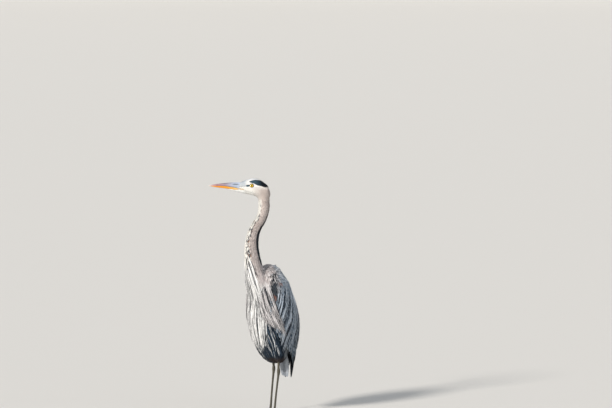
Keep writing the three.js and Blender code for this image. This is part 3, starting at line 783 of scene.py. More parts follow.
# stiff feathers: flight quills under the coverts, tertials over them, and the tail
stiffAlong = np.linspace(0, 1, 16)[None, :]
stiffAcross = np.linspace(-1, 1, 7)[None, None, :]
quillPlan = {"count": 30, "from": 57, "to": 178, "half": 12.5, "leaf": (0.75, 0.45), "camber": 0.08, "roll": 9,
             "raise": -3.5, "edge": "#a9b4bd", "shaft": 0.35}
tertialPlan = {"count": 9, "from": 106, "to": 173, "half": 14.5, "leaf": (0.6, 0.55), "camber": 0.1, "roll": 6,
               "raise": -0.8, "top": 400, "edge": "#b4bec6", "shaft": 0.3}
tailPlan = {"half": 9.5, "leaf": (0.75, 0.4), "camber": 0.06, "roll": 0, "top": 300, "tip": 154,
            "edge": "#6b7480", "shaft": 0.3}


def stiffVanes(name, plan, line, upright, base, edging, way, seed):
    colours = mix(base[:, None, None, :], tone(plan["edge"]), edging)
    colours = colours * (1 - plan["shaft"] * (np.abs(stiffAcross) < 0.1))[..., None]
    half = plan["half"] * np.ones((len(base), 1)) * leaf(stiffAlong, *plan["leaf"])
    return makeVanes(name, line, upright, half, colours, unwrapBody, stiffAcross.size, plan["camber"],
                     roll=np.full(len(base), plan["roll"] * way), seed=seed)


def growQuills(side, way, seed):  # their tips step down to the primaries
    chance = np.random.default_rng(seed)
    t = stiffAlong
    tips = np.linspace(quillPlan["from"], quillPlan["to"], quillPlan["count"])[:, None]
    roots = tips + 7 * np.sin(np.radians((tips - quillPlan["from"]) * 1.4))
    foot = quillFoot(tips) + chance.normal(0, 1.5, tips.shape)
    z = covertFoot(tips) + 70 + (foot - covertFoot(tips) - 70) * t
    tucked = fall(covertFoot(tips) + 12 - z, 0, 45)
    line, upright = planPatch(roots + (tips - roots) * t, z, quillPlan["raise"] - 2.5 * t - 6 * tucked, way)
    primary = rise(tips[:, 0], 108, 126)
    base = vary(mix(tone("#2c3946"), tone("#171e26"), primary), chance, 0.2)
    edge = rise(stiffAcross * way, 0.62, 1) * rise(t, 0.1, 0.5)[..., None]
    edging = 0.75 * edge * (1 - 0.6 * primary)[:, None, None]
    return stiffVanes("quills_" + side, quillPlan, line, upright, base, edging, way, seed)


def growTertials(side, way, seed):
    chance = np.random.default_rng(seed)
    tips = np.linspace(tertialPlan["from"], tertialPlan["to"], tertialPlan["count"])[:, None]
    roots = tips - 3 + chance.normal(0, 1, tips.shape)
    foot = np.linspace(246, 200, tertialPlan["count"])[:, None] + chance.normal(0, 6, tips.shape)
    z = tertialPlan["top"] + (foot - tertialPlan["top"]) * stiffAlong
    tucked = fall(covertFoot(tips) + 6 - z, 0, 40)
    line, upright = planPatch(roots + (tips - roots) * stiffAlong, z, tertialPlan["raise"] - 8.5 * tucked, way)
    base = vary(np.tile(tone("#3a4957"), (len(tips), 1)), chance, 0.2)
    edge = rise(np.abs(stiffAcross), 0.66, 1) * rise(stiffAlong, 0.1, 0.5)[..., None]
    return stiffVanes("tertials_" + side, tertialPlan, line, upright, base, 0.65 * edge, way, seed)


def growTail(seed):
    chance = np.random.default_rng(seed)
    t = stiffAlong
    halfWidth = rule((0, 26), (0.5, 34), (1, 28))
    lean = rule((0, 62), (0.5, 80), (1, 86))
    sides = np.array([0, 0.12, -0.12, 0.3, -0.3, 0.48, -0.48, 0.64, -0.64, 0.8, -0.8, 0.92])[:, None] * 0.78
    rank = np.arange(len(sides))[:, None] * 0.5  # the middle pair lies outermost
    tip = tailPlan["tip"] + 12 * sides ** 2 + chance.normal(0, 0.8, sides.shape)
    line = stacked(sides * halfWidth(t), lean(t) - 9 * sides ** 2 - rank - 0.5,
                   tailPlan["top"] + (tip - tailPlan["top"]) * t)
    upright = np.broadcast_to(unit(np.array([0, 1.0, 0.12])), line.shape)
    base = vary(np.tile(tone("#b6bcc4"), (len(sides), 1)), chance, 0.08)
    edging = rise(t, 0.75, 1)[..., None] * 0.5 + 0 * stiffAcross
    return stiffVanes("tail_feathers", tailPlan, line, upright, base, edging, 1, seed)


# long plumes, laid from the neck base and the shoulders over breast and wings
plumePlan = {"rows": 15, "columns": 3, "camber": 0.25, "twist": 10, "sway": 1.5, "mostPush": 6}


def neckPoint(z, degrees, out):
    spot = np.stack([neckX(z), neckY(z), z], -1)
    angle, turn = np.radians(degrees), headTurn * rise(z, 640, 900)
    left = np.stack([np.cos(turn), -np.sin(turn), 0 * turn], -1)
    ahead = np.stack([-np.sin(turn), -np.cos(turn), 0 * turn], -1)
    return spot + out * (left * np.sin(angle)[:, None] + ahead * np.cos(angle)[:, None])


def hullPatch(angle, z, way):  # breast and wing as one smooth surface
    share = rise(angle, 34, 62)

    def at(grow):
        breast = planPoint(z, angle, trunkWidth, trunkBack, grow)
        return mix(breast, planPoint(z, angle, wingWidth, wingBack, grow), share)
    flip = np.array([way, 1, 1])
    return at(0) * flip, unit(at(1) - at(0)) * flip


def flow(top, low, zTop, zLow, bend=1.0):  # plumes that run side by side: their angle at each height
    def angleAt(z):
        share = np.clip((zTop - z) / (zTop - zLow), 0, 1.15) ** bend
        return top[:, None] + (low - top)[:, None] * share
    return angleAt


# past the edge of the wing the plumes follow the outline, not the cleft beneath it
def alongOutline(line, upright, path):
    way, angleAt, lastZ = path
    t = np.linspace(0, 1, plumePlan["rows"])[None, :]
    firstZ = line[:, 0, 2][:, None]
    laidZ = firstZ + (lastZ[:, None] - firstZ) * t
    laid, laidUp = hullPatch(angleAt(laidZ), laidZ, way)
    laid = laid - laidUp * skinPlan["bodyDepth"]
    share = rise(t, 0.08, 0.4) + 0 * firstZ
    line, upright = mix(line, laid, share), unit(mix(upright, laidUp, share))
    under, outward = onSkin(line.reshape(-1, 3))
    sunk = np.clip(dot(line.reshape(-1, 3) - under, outward), -plumePlan["mostPush"], 0)
    sunk = (sunk * fall(np.abs(outward[:, 2]), 0.35, 0.6)).reshape(share.shape)
    for _ in range(3):  # evened along each plume
        sunk = (np.roll(sunk, 1, 1) + 2 * sunk + np.roll(sunk, -1, 1)) / 4
    return line - laidUp * sunk[..., None], upright


def layPlumes(name, roots, targets, reach, half, lift, colours, seed, tuck=0.7, path=None):
    # colours: of the vane, its edges, its centre and its root, one row for each plume
    chance = np.random.default_rng(seed)

    def heading(points):
        return unit(targets - points)

    line, upright = walk(roots, heading, reach, plumePlan["rows"] - 1)
    t = np.linspace(0, 1, plumePlan["rows"])[None, :]
    if path is not None:
        line, upright = alongOutline(line, upright, path)
    each = (len(roots), 1)
    height = lift[0] + (lift[1] - lift[0]) * t ** tuck + chance.normal(0, 0.7, each) * rise(t, 0, 0.5)
    sway = plumePlan["sway"] * np.sin(t * chance.uniform(2, 5, each) + chance.uniform(0, 6, each)) * t
    side = unit(np.cross(np.gradient(line, axis=1), upright))
    line = line + upright * height[..., None] + side * sway[..., None]
    c = np.abs(np.linspace(-1, 1, plumePlan["columns"]))[None, None, :]
    base, edge, centre, root = (part[:, None, None, :] for part in colours)
    tint = mix(base + 0 * edge, edge, rise(c, 0.4, 1) * 0.8 + 0 * t[..., None])
    tint = mix(tint, centre, (c < 0.1) * rise(t, 0.1, 0.4)[..., None] * 0.7)
    tint = mix(root + 0 * tint, tint, rise(t, 0.03, 0.28)[..., None])
    return makeVanes(name, line, upright, half[:, None] * leaf(t, 0.3, 0.9), tint, unwrapBody,
                     plumePlan["columns"], plumePlan["camber"],
                     roll=chance.normal(0, plumePlan["twist"], len(roots)), seed=seed)


def layOnWing(name, way, z, foot, angleAt, plan, half, colours, seed):
    start, aim = (hullPatch(angleAt(at[:, None])[:, 0], at, way)[0] for at in (z, foot - 50))
    return layPlumes(name, start, aim, z - foot, half, plan["lift"], colours, seed, plan["tuck"],
                     (way, angleAt, foot))


shoulderPlan = {"count": 460, "top": 612, "spread": 150, "reach": (100, 190), "half": (1.5, 2.8),
                "lift": (0.0, 11.0), "tuck": 0.9, "pale": "#eae5e6", "dark": "#20252e", "edge": "#fbf9f7",
                "root": "#a59d9b"}


def growShoulderPlumes(side, way, seed, inner):
    chance = np.random.default_rng(seed)
    plan, count = shoulderPlan, shoulderPlan["count"]
    s = chance.random(count)  # from the breast side to the wing side
    z = plan["top"] - plan["spread"] * chance.random(count)
    foot = z - chance.uniform(*plan["reach"], count)
    foot = np.maximum(foot, 352 + 62 * (1 - s) + chance.normal(0, 10, count))
    astray = chance.normal(0, 1.6, count)
    angleAt = flow(inner + (46 - inner) * s + astray, 50 + 32 * s + astray, 622, 354, 1.3)
    shade = rise(streaks(s * 46, z * 0, 7.4) + chance.normal(0, 0.14, count), 0.58, 0.76)
    tones = mix(tone(plan["pale"]), tone(plan["dark"]), shade) * chance.uniform(0.8, 1.05, (count, 1))
    edges = mix(tones, tone(plan["edge"]), 0.6 * (1 - 0.95 * shade))
    colours = (tones, edges, tones * 0.6, np.tile(tone(plan["root"]), (count, 1)))
    return layOnWing("shoulder_plumes_" + side, way, z, foot, angleAt, plan,
                     chance.uniform(*plan["half"], count), colours, seed)


scapularPlan = {"count": 420, "top": 628, "spread": 240, "reach": (95, 190), "half": (2.2, 4.2),
                "lift": (0.3, 8.2), "tuck": 0.95, "shortest": 60, "pale": "#dbe8f6", "dark": "#0f2033",
                "edge": "#e9edf0"}


def growScapulars(side, way, seed):
    chance = np.random.default_rng(seed)
    plan, count = scapularPlan, scapularPlan["count"]
    s = chance.random(count) ** 0.75
    z = plan["top"] - plan["spread"] * chance.random(count)
    top, low = 82 + 99 * s, 34 + 146 * s ** 2.2
    meeting = 618 - 318 * (top - 68) / (top - low)  # where they reach the plumes of the shoulder
    foot = np.maximum(z - chance.uniform(*plan["reach"], count), 266 + chance.uniform(0, 40, count))
    foot = np.maximum(foot, meeting + chance.normal(0, 8, count))
    astray = chance.normal(0, 1.3, count)
    shade = rise(streaks(s * 106, z * 0, 9) + chance.normal(0, 0.13, count), 0.4, 0.6)
    dim = (1 - 0.3 * rise(-foot, -400, -290)) * (1 - 0.2 * rise(s, 0.35, 0.6) * rise(-foot, -480, -380))
    tones = mix(tone(plan["pale"]), tone(plan["dark"]), shade)
    tones = tones * (chance.uniform(0.8, 1.08, count) * dim)[:, None]
    edges = mix(tones, tone(plan["edge"]), chance.uniform(0.15, 0.5, count) * dim * (1 - 0.8 * shade))
    kept = z - foot > plan["shortest"]
    angleAt = flow((top + astray)[kept], (low + astray)[kept], 618, 300)
    colours = [part[kept] for part in (tones, edges, tones * 0.6, wingTone(z))]
    return layOnWing("scapular_plumes_" + side, way, z[kept], foot[kept], angleAt, plan,
                     chance.uniform(*plan["half"], count)[kept], colours, seed)


breastPlan = {"count": 820, "top": 690, "spread": 290, "reach": (90, 200), "half": (1.9, 3.6),
              "lift": (0.4, 10.0), "pale": "#f9f9f8", "dark": "#1b232d", "edge": "#fdfdfc", "centre": "#4e555e"}
breastFoot = rule((-46, 368), (-38, 330), (-20, 306), (0, 296), (20, 304), (38, 322), (46, 360))


def growBreastPlumes(seed):
    chance = np.random.default_rng(seed)
    plan, count = breastPlan, breastPlan["count"]
    s = chance.uniform(-1, 1, count)
    z = plan["top"] - plan["spread"] * chance.random(count) ** 0.85 + chance.normal(0, 12, count)
    start = np.where((z > 560)[:, None], neckPoint(z, s * 50 - neckTwist(z), 60),
                     planPoint(z, s * 42, trunkWidth, trunkBack, 0))
    reach = np.minimum(chance.uniform(*plan["reach"], count), z - breastFoot(s * 46))
    end = z - reach
    endAngle = s * (44 - 8 * rise(-end, -470, -290))
    aim = planPoint(np.maximum(end - 40, 255), endAngle, trunkWidth, trunkBack, 0)
    shade = rise(streaks(s * 44, end * 0.6, 7.4) + chance.normal(0, 0.1, count), 0.68, 0.8)
    tones = mix(tone(plan["pale"]), tone(plan["dark"]), shade) * chance.uniform(0.94, 1.0, (count, 1))
    edges = mix(tones, tone(plan["edge"]), 0.5 - 0.4 * shade)
    centre = mix(tones * 0.96, tone(plan["centre"]), (chance.random(count) < 0.15) * 0.8)
    # the roots are darkened a little as painted shade under the plumes above them
    return layPlumes("breast_plumes", start, aim, reach, chance.uniform(*plan["half"], count), plan["lift"],
                     (tones, edges, centre, tones * 0.92), seed, 0.95)


flankPlan = {"count": 620, "from": 285, "to": 500, "reach": (60, 140), "lowest": 245, "half": (1.6, 3.0),
             "lift": (1.0, 9.0), "dark": "#0e1a27", "slate": "#4c6175", "pale": "#f4f6f8", "edge": "#6d8194"}
flankTo = rule((285, 84), (340, 74), (400, 58), (500, 50))


def growFlankPlumes(seed):
    chance = np.random.default_rng(seed)
    plan, count = flankPlan, flankPlan["count"]
    way = np.where(chance.random(count) < 0.5, 1, -1)
    z = chance.uniform(plan["from"], plan["to"], count)
    s = flankFrom(z) - 2 + (flankTo(z) - flankFrom(z)) * chance.random(count)
    flip = np.stack([way, np.ones(count), np.ones(count)], -1)
    start, aim = (planPoint(z - drop, s + swing, trunkWidth, trunkBack, -6) * flip
                  for drop, swing in ((0, 0), (150, 36)))
    lane = s + (z - 400) * 0.24  # the same along each line of feathers
    white = rise(streaks(lane, 0 * z, 15) + chance.normal(0, 0.06, count), 0.82, 0.92)
    white = white * (chance.random(count) < np.where(s - flankFrom(z) < 18, 0.6, 0.2)) * rise(z, 296, 320)
    tones = mix(tone(plan["dark"]), tone(plan["slate"]), 0.8 * (chance.random(count) < 0.3))
    tones = mix(tones, tone(plan["pale"]), white) * chance.uniform(0.85, 1.0, (count, 1))
    edges = mix(tones, tone(plan["edge"]), 0.25 * (1 - white))
    reach = np.minimum(chance.uniform(*plan["reach"], count), z - plan["lowest"])
    half = chance.uniform(*plan["half"], count) * (1 + 0.6 * white)
    # the roots are darkened as painted shade under the plumes above them
    return layPlumes("flank_plumes", start, aim, reach, half, plan["lift"],
                     (tones, edges, tones * 0.85, tones * 0.7), seed)


plumage = {"vaned": [], "soft": [headFeathers, chinFeathers, neckFeathers, bodyFeathers], "plumes": []}
for side, way, seed in (("left", 1, 40), ("right", -1, 50)):
    coverts = growCoverts(side, way, seed)
    quills = growQuills(side, way, seed + 1)
    tertials = growTertials(side, way, seed + 2)
    # the breast is turned a little to its left, so the plumes of that side start nearer its middle
    shoulder = growShoulderPlumes(side, way, seed + 3, 14 - 12 * way)
    scapulars = growScapulars(side, way, seed + 4)
    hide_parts("flight_feathers_" + side)
    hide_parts("shoulder_plumes_" + side)
    plumage["vaned"] += [coverts, quills, tertials]
    plumage["plumes"] += [shoulder, scapulars]
breastPlumes = growBreastPlumes(60)
flankPlumes = growFlankPlumes(61)
tailFeathers = growTail(62)
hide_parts("breast_plumes")
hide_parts("tail")
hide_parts(*fleshNodes)
plumage["plumes"] += [breastPlumes, flankPlumes]
plumage["vaned"].append(tailFeathers)


# bill, eyes, legs and claws: smooth closed forms
def ringedMesh(name, rings, colours=None):  # rings x sides x 3, closed by a fan at each end
    count, sides, _ = rings.shape
    points = np.concatenate([rings.reshape(-1, 3), rings[0].mean(0)[None], rings[-1].mean(0)[None]])
    index = np.arange(count * sides).reshape(count, sides)
    after = np.roll(index, -1, 1)
    quads = np.stack([index[:-1], after[:-1], after[1:], index[1:]], -1).reshape(-1, 4).tolist()
    fans = [[count * sides, after[0, j], index[0, j]] for j in range(sides)]
    fans += [[count * sides + 1, index[-1, j], after[-1, j]] for j in range(sides)]
    if colours is not None:
        colours = np.concatenate([colours.reshape(-1, 3), colours[0].mean(0)[None], colours[-1].mean(0)[None]])
    return closedForm(name, points, quads + fans, colours)


billPlan = {"root": -18, "upperTip": 134, "lowerTip": 131, "parting": 0.15, "rings": 110, "sides": 40,
            # place, height, half length, half height, depth
            "nostril": (17, 11.6, 12.5, 1.5, 1.6), "furrow": 0.5}


def bentSine(value, squareness):
    return np.sign(value) * np.abs(value) ** (2 / squareness)


def growBillHalf(name, tip, edgeAt, widthAt, away):
    along = np.linspace(0, 1, billPlan["rings"])[:, None] ** 0.9
    forward = billPlan["root"] + (tip - billPlan["root"]) * along
    angle = np.linspace(0, 2 * np.pi, billPlan["sides"], endpoint=False)[None, :]
    mouth = mouthLine(forward) + away * billPlan["parting"]
    height = np.abs(edgeAt(forward) - mouth)
    up = np.where(np.sin(angle) > 0, height * bentSine(np.sin(angle), 1.7), 0)
    left = widthAt(forward) * bentSine(np.cos(angle), 2.4) * np.where(np.sin(angle) < -0.01, 0.93, 1)
    heightShare = up / np.maximum(height, 1e-6)
    level = mouth + away * up
    dent = np.zeros_like(level)
    if away > 0:
        place, high, halfLong, halfHigh, depth = billPlan["nostril"]
        slit = np.exp(-(((forward - place) / halfLong) ** 4 + ((level - high) / halfHigh) ** 2))
        furrow = np.exp(-((level - high + 0.03 * (forward - 20)) / 1.6) ** 2) * rise(-forward, -92, -30)
        dent = depth * slit + billPlan["furrow"] * furrow
        # near the base the upper half is pale grey-blue, lightened by a painted bluish highlight
        toneBase = ramp((-18, "#b7c3d4"), (24, "#abb6c8"), (62, "#968591"), (95, "#a87e84"), (114, "#c2948f"),
                        (126, "#dcc8c0"), (134, "#eee5de"))
        colours = toneBase(forward + 0 * angle)
        ridge = rise(heightShare, 0.72, 0.97) * rise(forward, 24, 60) * 0.75 * fall(forward, 112, 130)
        colours = mix(colours, tone("#4a4650"), ridge)
        cutting = fall(heightShare, 0.06, 0.24) * rise(forward, 2, 20) * fall(forward, 92, 112)
        colours = mix(colours, tone("#6a606c"), cutting * 0.65)
        colours = mix(colours, tone("#20242b"), slit ** 0.7)
    else:
        toneBase = ramp((-18, "#f1d19a"), (20, "#f5c068"), (50, "#f7a92c"), (80, "#f79b12"), (108, "#ee9a34"),
                        (120, "#e6b277"), (131, "#e6dccb"))
        colours = toneBase(forward + 0 * angle)
        colours = mix(colours, tone("#b98f62"), rise(heightShare, 0.55, 0.95) * 0.35)
    left = left - np.sign(left) * np.minimum(dent, np.abs(left) * 0.6)
    return ringedMesh(name, onHead(forward + 0 * angle, left, level + 0 * angle), colours)


billUpper = growBillHalf("bill_upper_half", billPlan["upperTip"], culmen, upperWidth, 1)
billLower = growBillHalf("bill_lower_half", billPlan["lowerTip"], keel, lowerWidth, -1)
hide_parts("bill_upper")
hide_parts("bill_lower")


# degrees from the eye's axis; the lids open to the sides, above and below
eyeLook = {"pupil": 21, "irisEdge": 50, "lidReach": 13, "lidRise": 0.6, "lidOpen": (49, 41, 45)}


def growEye(side, way):
    centre = eyeCentres[side]
    axis = unit(headLeft * way + headForward * 0.16 - headUp * 0.02)
    ahead = unit(headForward - axis * dot(headForward, axis))
    over = np.cross(axis, ahead) * way
    over = over * np.sign(over[2])
    tilt = np.radians(np.concatenate([np.linspace(1, 60, 50), np.linspace(64, 176, 24)]))[:, None]
    around = np.linspace(0, 2 * np.pi, 56, endpoint=False)[None, :]

    def ball(tilt, around, radius):
        out = np.sin(tilt) * radius
        return (centre + (np.cos(tilt) * radius)[..., None] * axis + (out * np.cos(around))[..., None] * ahead
                + (out * np.sin(around))[..., None] * over)

    degrees = np.degrees(tilt) + 0 * around
    fibres = 0.5 + 0.5 * np.sin(around * 47 + 3 * np.sin(around * 13))
    iris = mix(tone("#eec413"), tone("#d79f10"), 0.4 * fibres * rise(degrees, 22, 36))
    iris = mix(iris, tone("#7d5a0c"), rise(degrees, 44, 49) * 0.8)
    iris = mix(iris, tone("#c98f10"), fall(degrees, 21, 26) * 0.6)
    colours = mix(iris, tone("#050506"), fall(degrees, eyeLook["pupil"] - 0.7, eyeLook["pupil"] + 0.7))
    colours = mix(colours, tone("#14181b"), rise(degrees, eyeLook["irisEdge"] - 1, eyeLook["irisEdge"] + 1.5))
    radius = eyePlan["radius"] + 0 * degrees
    eye = ringedMesh("eyeball_" + side, ball(tilt + 0 * around, around + 0 * tilt, radius), colours)
    # the lids: a soft ring that hugs the ball, its opening a little pointed to front and back
    share = np.linspace(0, 1, 14)[:, None]
    upper = np.sin(around) > 0
    beside, above, below = eyeLook["lidOpen"]
    opening = beside - (beside - np.where(upper, above, below)) * np.sin(around) ** 2
    opening = opening + 3 * np.abs(np.cos(around)) ** 6
    lidTilt = np.radians(opening + eyeLook["lidReach"] * share)
    lidRadius = eyePlan["radius"] + 0.15 + eyeLook["lidRise"] * np.sin(np.pi * share ** 0.6)
    lidRadius = lidRadius - 1.5 * rise(share, 0.6, 1)
    front = ball(lidTilt, around + 0 * lidTilt, lidRadius + 0 * around)
    inner = ball(lidTilt[::-1], around + 0 * lidTilt, np.full(lidTilt.shape, eyePlan["radius"] - 1.2))
    rings = np.concatenate([front, inner])
    dark = np.concatenate([1 - share, share]) + 0 * rings[..., 0]
    ringTone = mix(tone("#66767a"), tone("#1c2328"), dark)
    lid = tube("eyelid_" + side, rings, ringTone)
    return eye, lid


def tube(name, rings, colours):  # a ring whose section closes on itself
    count, sides, _ = rings.shape
    index = np.arange(count * sides).reshape(count, sides)
    after, down = np.roll(index, -1, 1), np.roll(index, -1, 0)
    quads = np.stack([index, after, np.roll(down, -1, 1), down], -1).reshape(-1, 4).tolist()
    return closedForm(name, rings.reshape(-1, 3), quads, colours.reshape(-1, 3))


eyes, lids = [], []
for side, way in (("left", 1), ("right", -1)):
    eye, lid = growEye(side, way)
    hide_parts("eye_" + side)
    eyes.append(eye)
    lids.append(lid)


legPlan = {"voxel": 0.95, "overlap": 0.45, "smoothing": 5, "scute": 6.4, "toeScute": 4.2, "groove": 0.45}
legPlaces = {"left": {"side": 1, "ankle": 10, "foot": -15}, "right": {"side": -1, "ankle": 46, "foot": 25}}
# each toe's heading in degrees, and its length
toes = {"inner": (-20, 78), "middle": (10, 94), "outer": (42, 82), "hind": (176, 44)}


def growLeg(side):
    place = legPlaces[side]
    names = [part + side for part in ("shank_", "tarsus_", "foot_")]
    leg = fused(gathered("leg_" + side, names, legPlan["overlap"]), legPlan["voxel"], legPlan["smoothing"])
    points = toBird(readPoints(leg.data))
    normals = readPoints(leg.data, "normal")
    z = points[:, 2]
    share = np.clip((z - 13) / 177, 0, 1.3)
    axisX = place["side"] * (37 + share)
    axisY = place["foot"] + (place["ankle"] - place["foot"]) * np.clip(share, 0, 1)
    facing = np.degrees(np.arctan2(points[:, 0] - axisX, -(points[:, 1] - axisY)))
    onShin = rise(z, 16, 26)
    # broad plates down the front, small round scales behind
    front = fall(np.abs(facing), 55, 80)
    wave = np.abs(((z / legPlan["scute"] + 0.12 * np.cos(np.radians(facing) * 2)) % 1) - 0.5) * 2
    plate = rise(wave, 0.78, 1.0) * front * onShin
    small = legPlan["scute"] * 0.55
    across = np.sin(np.radians(facing) * 7 + np.floor(z / small) * np.pi / 2)
    grid = np.maximum(np.abs(np.sin(z * np.pi / small)) ** 6, np.abs(across) ** 8)
    plate = np.maximum(plate, grid * 0.5 * (1 - front) * onShin)
    out = points - np.array([place["side"] * 37.0, place["foot"], 0])
    reach = np.hypot(out[:, 0], out[:, 1])
    wave = np.abs(((reach / legPlan["toeScute"]) % 1) - 0.5) * 2
    above = rise(normals[:, 2], -0.2, 0.4)
    plate = np.maximum(plate, rise(wave, 0.72, 1.0) * above * (1 - onShin) * rise(reach, 9, 14))
    points = points - normals * (legPlan["overlap"] * 0.6 + legPlan["groove"] * plate)[:, None]
    points[:, 2] = np.maximum(points[:, 2], 0)
    writePoints(leg.data, points)
    base = mix(tone("#4a463a"), tone("#6a6350"), front * rise(z, 200, 230) * 0.5)
    base = mix(base, tone("#37342b"), fall(z, 0, 5) * 0.7)
    base = mix(base, tone("#1f1d18"), plate * 0.8)
    setTint(leg.data, base)
    smoothShaded(leg.data)
    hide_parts("shank_" + side, "tarsus_" + side, "foot_" + side)
    return leg


def growClaw(toe, side):
    heading, length = toes[toe]
    place = legPlaces[side]
    turn = np.radians(heading) * place["side"]
    ahead = np.array([np.sin(turn), -np.cos(turn), 0])
    aside = np.array([np.cos(turn), np.sin(turn), 0])
    t = np.linspace(0, 1, 22)[:, None]
    angle = np.linspace(0, 2 * np.pi, 16, endpoint=False)[None, :]
    radius = 2.3 + (0.35 - 2.3) * t ** 1.3
    height = 3.2 + 1.2 * np.sin(t * np.pi) - 2.1 * t * t
    centre = np.array([place["side"] * 37.0, place["foot"], 0]) + (length - 3 + 18 * t)[..., None] * ahead
    centre = centre + height[..., None] * headUp
    rings = centre + (radius * 0.8 * np.cos(angle))[..., None] * aside
    rings = rings + (radius * np.sin(angle))[..., None] * headUp
    rings[..., 2] = np.maximum(rings[..., 2], 0.3)
    claw = ringedMesh("claw_%s_%s_horn" % (toe, side), rings)
    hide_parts("claw_%s_%s" % (toe, side))
    return claw


legs = [growLeg(side) for side in legPlaces]
claws = [growClaw(toe, side) for side in legPlaces for toe in toes]
print("bill, eyes, legs and claws ready")


# materials
def material(name):
    made = bpy.data.materials.new(name)
    made.use_nodes = True
    return made, made.node_tree, made.node_tree.nodes["Principled BSDF"]


# one node, its settings, and its inputs as values or other nodes' outputs
def addNode(tree, kind, settings=(), **links):
    node = tree.nodes.new("ShaderNode" + kind)
    for key, value in dict(settings).items():
        setattr(node, key, value)
    for key, value in links.items():
        numbered = key[0] == "i" and key[1:].isdigit()
        socket = node.inputs[int(key[1:]) if numbered else key.replace("_", " ")]
        if isinstance(value, bpy.types.NodeSocket):
            tree.links.new(value, socket)
        else:
            socket.default_value = value
    return node


def finishAs(shader, **values):
    for key, value in values.items():
        shader.inputs[key.replace("_", " ")].default_value = value


# the mesh's own tint times shade, with relief
def tintedSurface(tree, shader, shade, height=None, bump=0, depth=0):
    tint = addNode(tree, "Attribute", {"attribute_name": "tint"})
    colour = addNode(tree, "VectorMath", {"operation": "SCALE"}, i0=tint.outputs["Color"],
                     Scale=shade.outputs[0])
    tree.links.new(colour.outputs[0], shader.inputs["Base Color"])
    if height is not None:
        relief = addNode(tree, "Bump", Strength=bump, Distance=depth, Height=height.outputs[0])
        tree.links.new(relief.outputs[0], shader.inputs["Normal"])


# Feather: keratin barbs hooked into a vane, matte from the side and faintly silky along the barbs.
# Real barbs are 0.3 mm apart; they are drawn at 1.3 mm and more so that they show.
def featherMaterial(name, barb, barbTone, roughness, sheen, bump):
    made, tree, shader = material(name)
    vane = addNode(tree, "Attribute", {"attribute_name": "vane"})
    parts = addNode(tree, "SeparateXYZ", i0=vane.outputs["Vector"])
    away = addNode(tree, "Math", {"operation": "ABSOLUTE"}, i0=parts.outputs[0])
    slant = addNode(tree, "Math", {"operation": "MULTIPLY_ADD"}, i0=away.outputs[0], i1=-1.4,
                    i2=parts.outputs[1])
    ripple = addNode(tree, "CombineXYZ", i0=parts.outputs[0], i1=slant.outputs[0], i2=parts.outputs[2])
    clump = addNode(tree, "TexNoise", {"noise_dimensions": "3D"}, Vector=ripple.outputs[0], Scale=0.18,
                    Detail=2.0)
    bend = addNode(tree, "Math", {"operation": "MULTIPLY_ADD"}, i0=clump.outputs[0], i1=barb * 3,
                   i2=slant.outputs[0])
    phase = addNode(tree, "Math", {"operation": "MULTIPLY"}, i0=bend.outputs[0], i1=6.2832 / barb)
    barbs = addNode(tree, "Math", {"operation": "SINE"}, i0=phase.outputs[0])
    tones = addNode(tree, "MapRange", i0=barbs.outputs[0], i1=-1.0, i2=1.0, i3=1 - barbTone, i4=1 + barbTone)
    mottle = addNode(tree, "MapRange", i0=clump.outputs[0], i1=0.3, i2=0.7, i3=0.93, i4=1.07)
    strength = addNode(tree, "Math", {"operation": "MULTIPLY"}, i0=tones.outputs[0], i1=mottle.outputs[0])
    tintedSurface(tree, shader, strength, barbs, bump, 0.0004)
    finishAs(shader, Roughness=roughness, Sheen_Weight=sheen, Sheen_Roughness=0.5, IOR=1.54,
             Specular_IOR_Level=0.12)
    return made


softDown = featherMaterial("soft contour feather", 1.3, 0.06, 0.85, 0.02, 0.25)
plumeBarbs = featherMaterial("loose silky plume", 1.6, 0.1, 0.74, 0.03, 0.35)
stiffVane = featherMaterial("stiff vaned feather", 1.5, 0.07, 0.68, 0.02, 0.3)


# Skin under the coat: thin, soft and matte; it only shows as the shade between feathers.
underSkin, tree, shader = material("thin skin under the coat")
place = addNode(tree, "TexCoord")
grain = addNode(tree, "TexNoise", Vector=place.outputs["Object"], Scale=400.0, Detail=3.0)  # 2.5 mm
pores = addNode(tree, "MapRange", i0=grain.outputs[0], i1=0.3, i2=0.7, i3=0.85, i4=1.1)
tintedSurface(tree, shader, pores)
finishAs(shader, Roughness=0.8)


# Horn of the bill: layered keratin worn smooth, a satin gloss with fine lengthwise growth lines.
billHorn, tree, shader = material("worn bill horn")
place = addNode(tree, "TexCoord")
turned = addNode(tree, "Mapping", i0=place.outputs["Object"], Rotation=(0, 0, 2.443), Scale=(60, 900, 900))
lines = addNode(tree, "TexNoise", Vector=turned.outputs[0], Scale=1.0, Detail=3.0)
spots = addNode(tree, "TexNoise", Vector=place.outputs["Object"], Scale=90.0, Detail=4.0)
both = addNode(tree, "Math", {"operation": "MULTIPLY_ADD"}, i0=lines.outputs[0], i1=0.5, i2=spots.outputs[0])
wear = addNode(tree, "MapRange", i0=both.outputs[0], i1=0.5, i2=1.0, i3=0.86, i4=1.12)
tintedSurface(tree, shader, wear, lines, 0.2, 0.0002)
finishAs(shader, Roughness=0.38, IOR=1.54)


# Eye: a wet clear cornea over a yellow iris; the clear layer gives a sharp small highlight.
wetEye, tree, shader = material("wet eye")
tint = addNode(tree, "Attribute", {"attribute_name": "tint"})
tree.links.new(tint.outputs["Color"], shader.inputs["Base Color"])
finishAs(shader, Roughness=0.6, Specular_IOR_Level=0.1, Coat_Weight=1.0, Coat_Roughness=0.02, IOR=1.38)


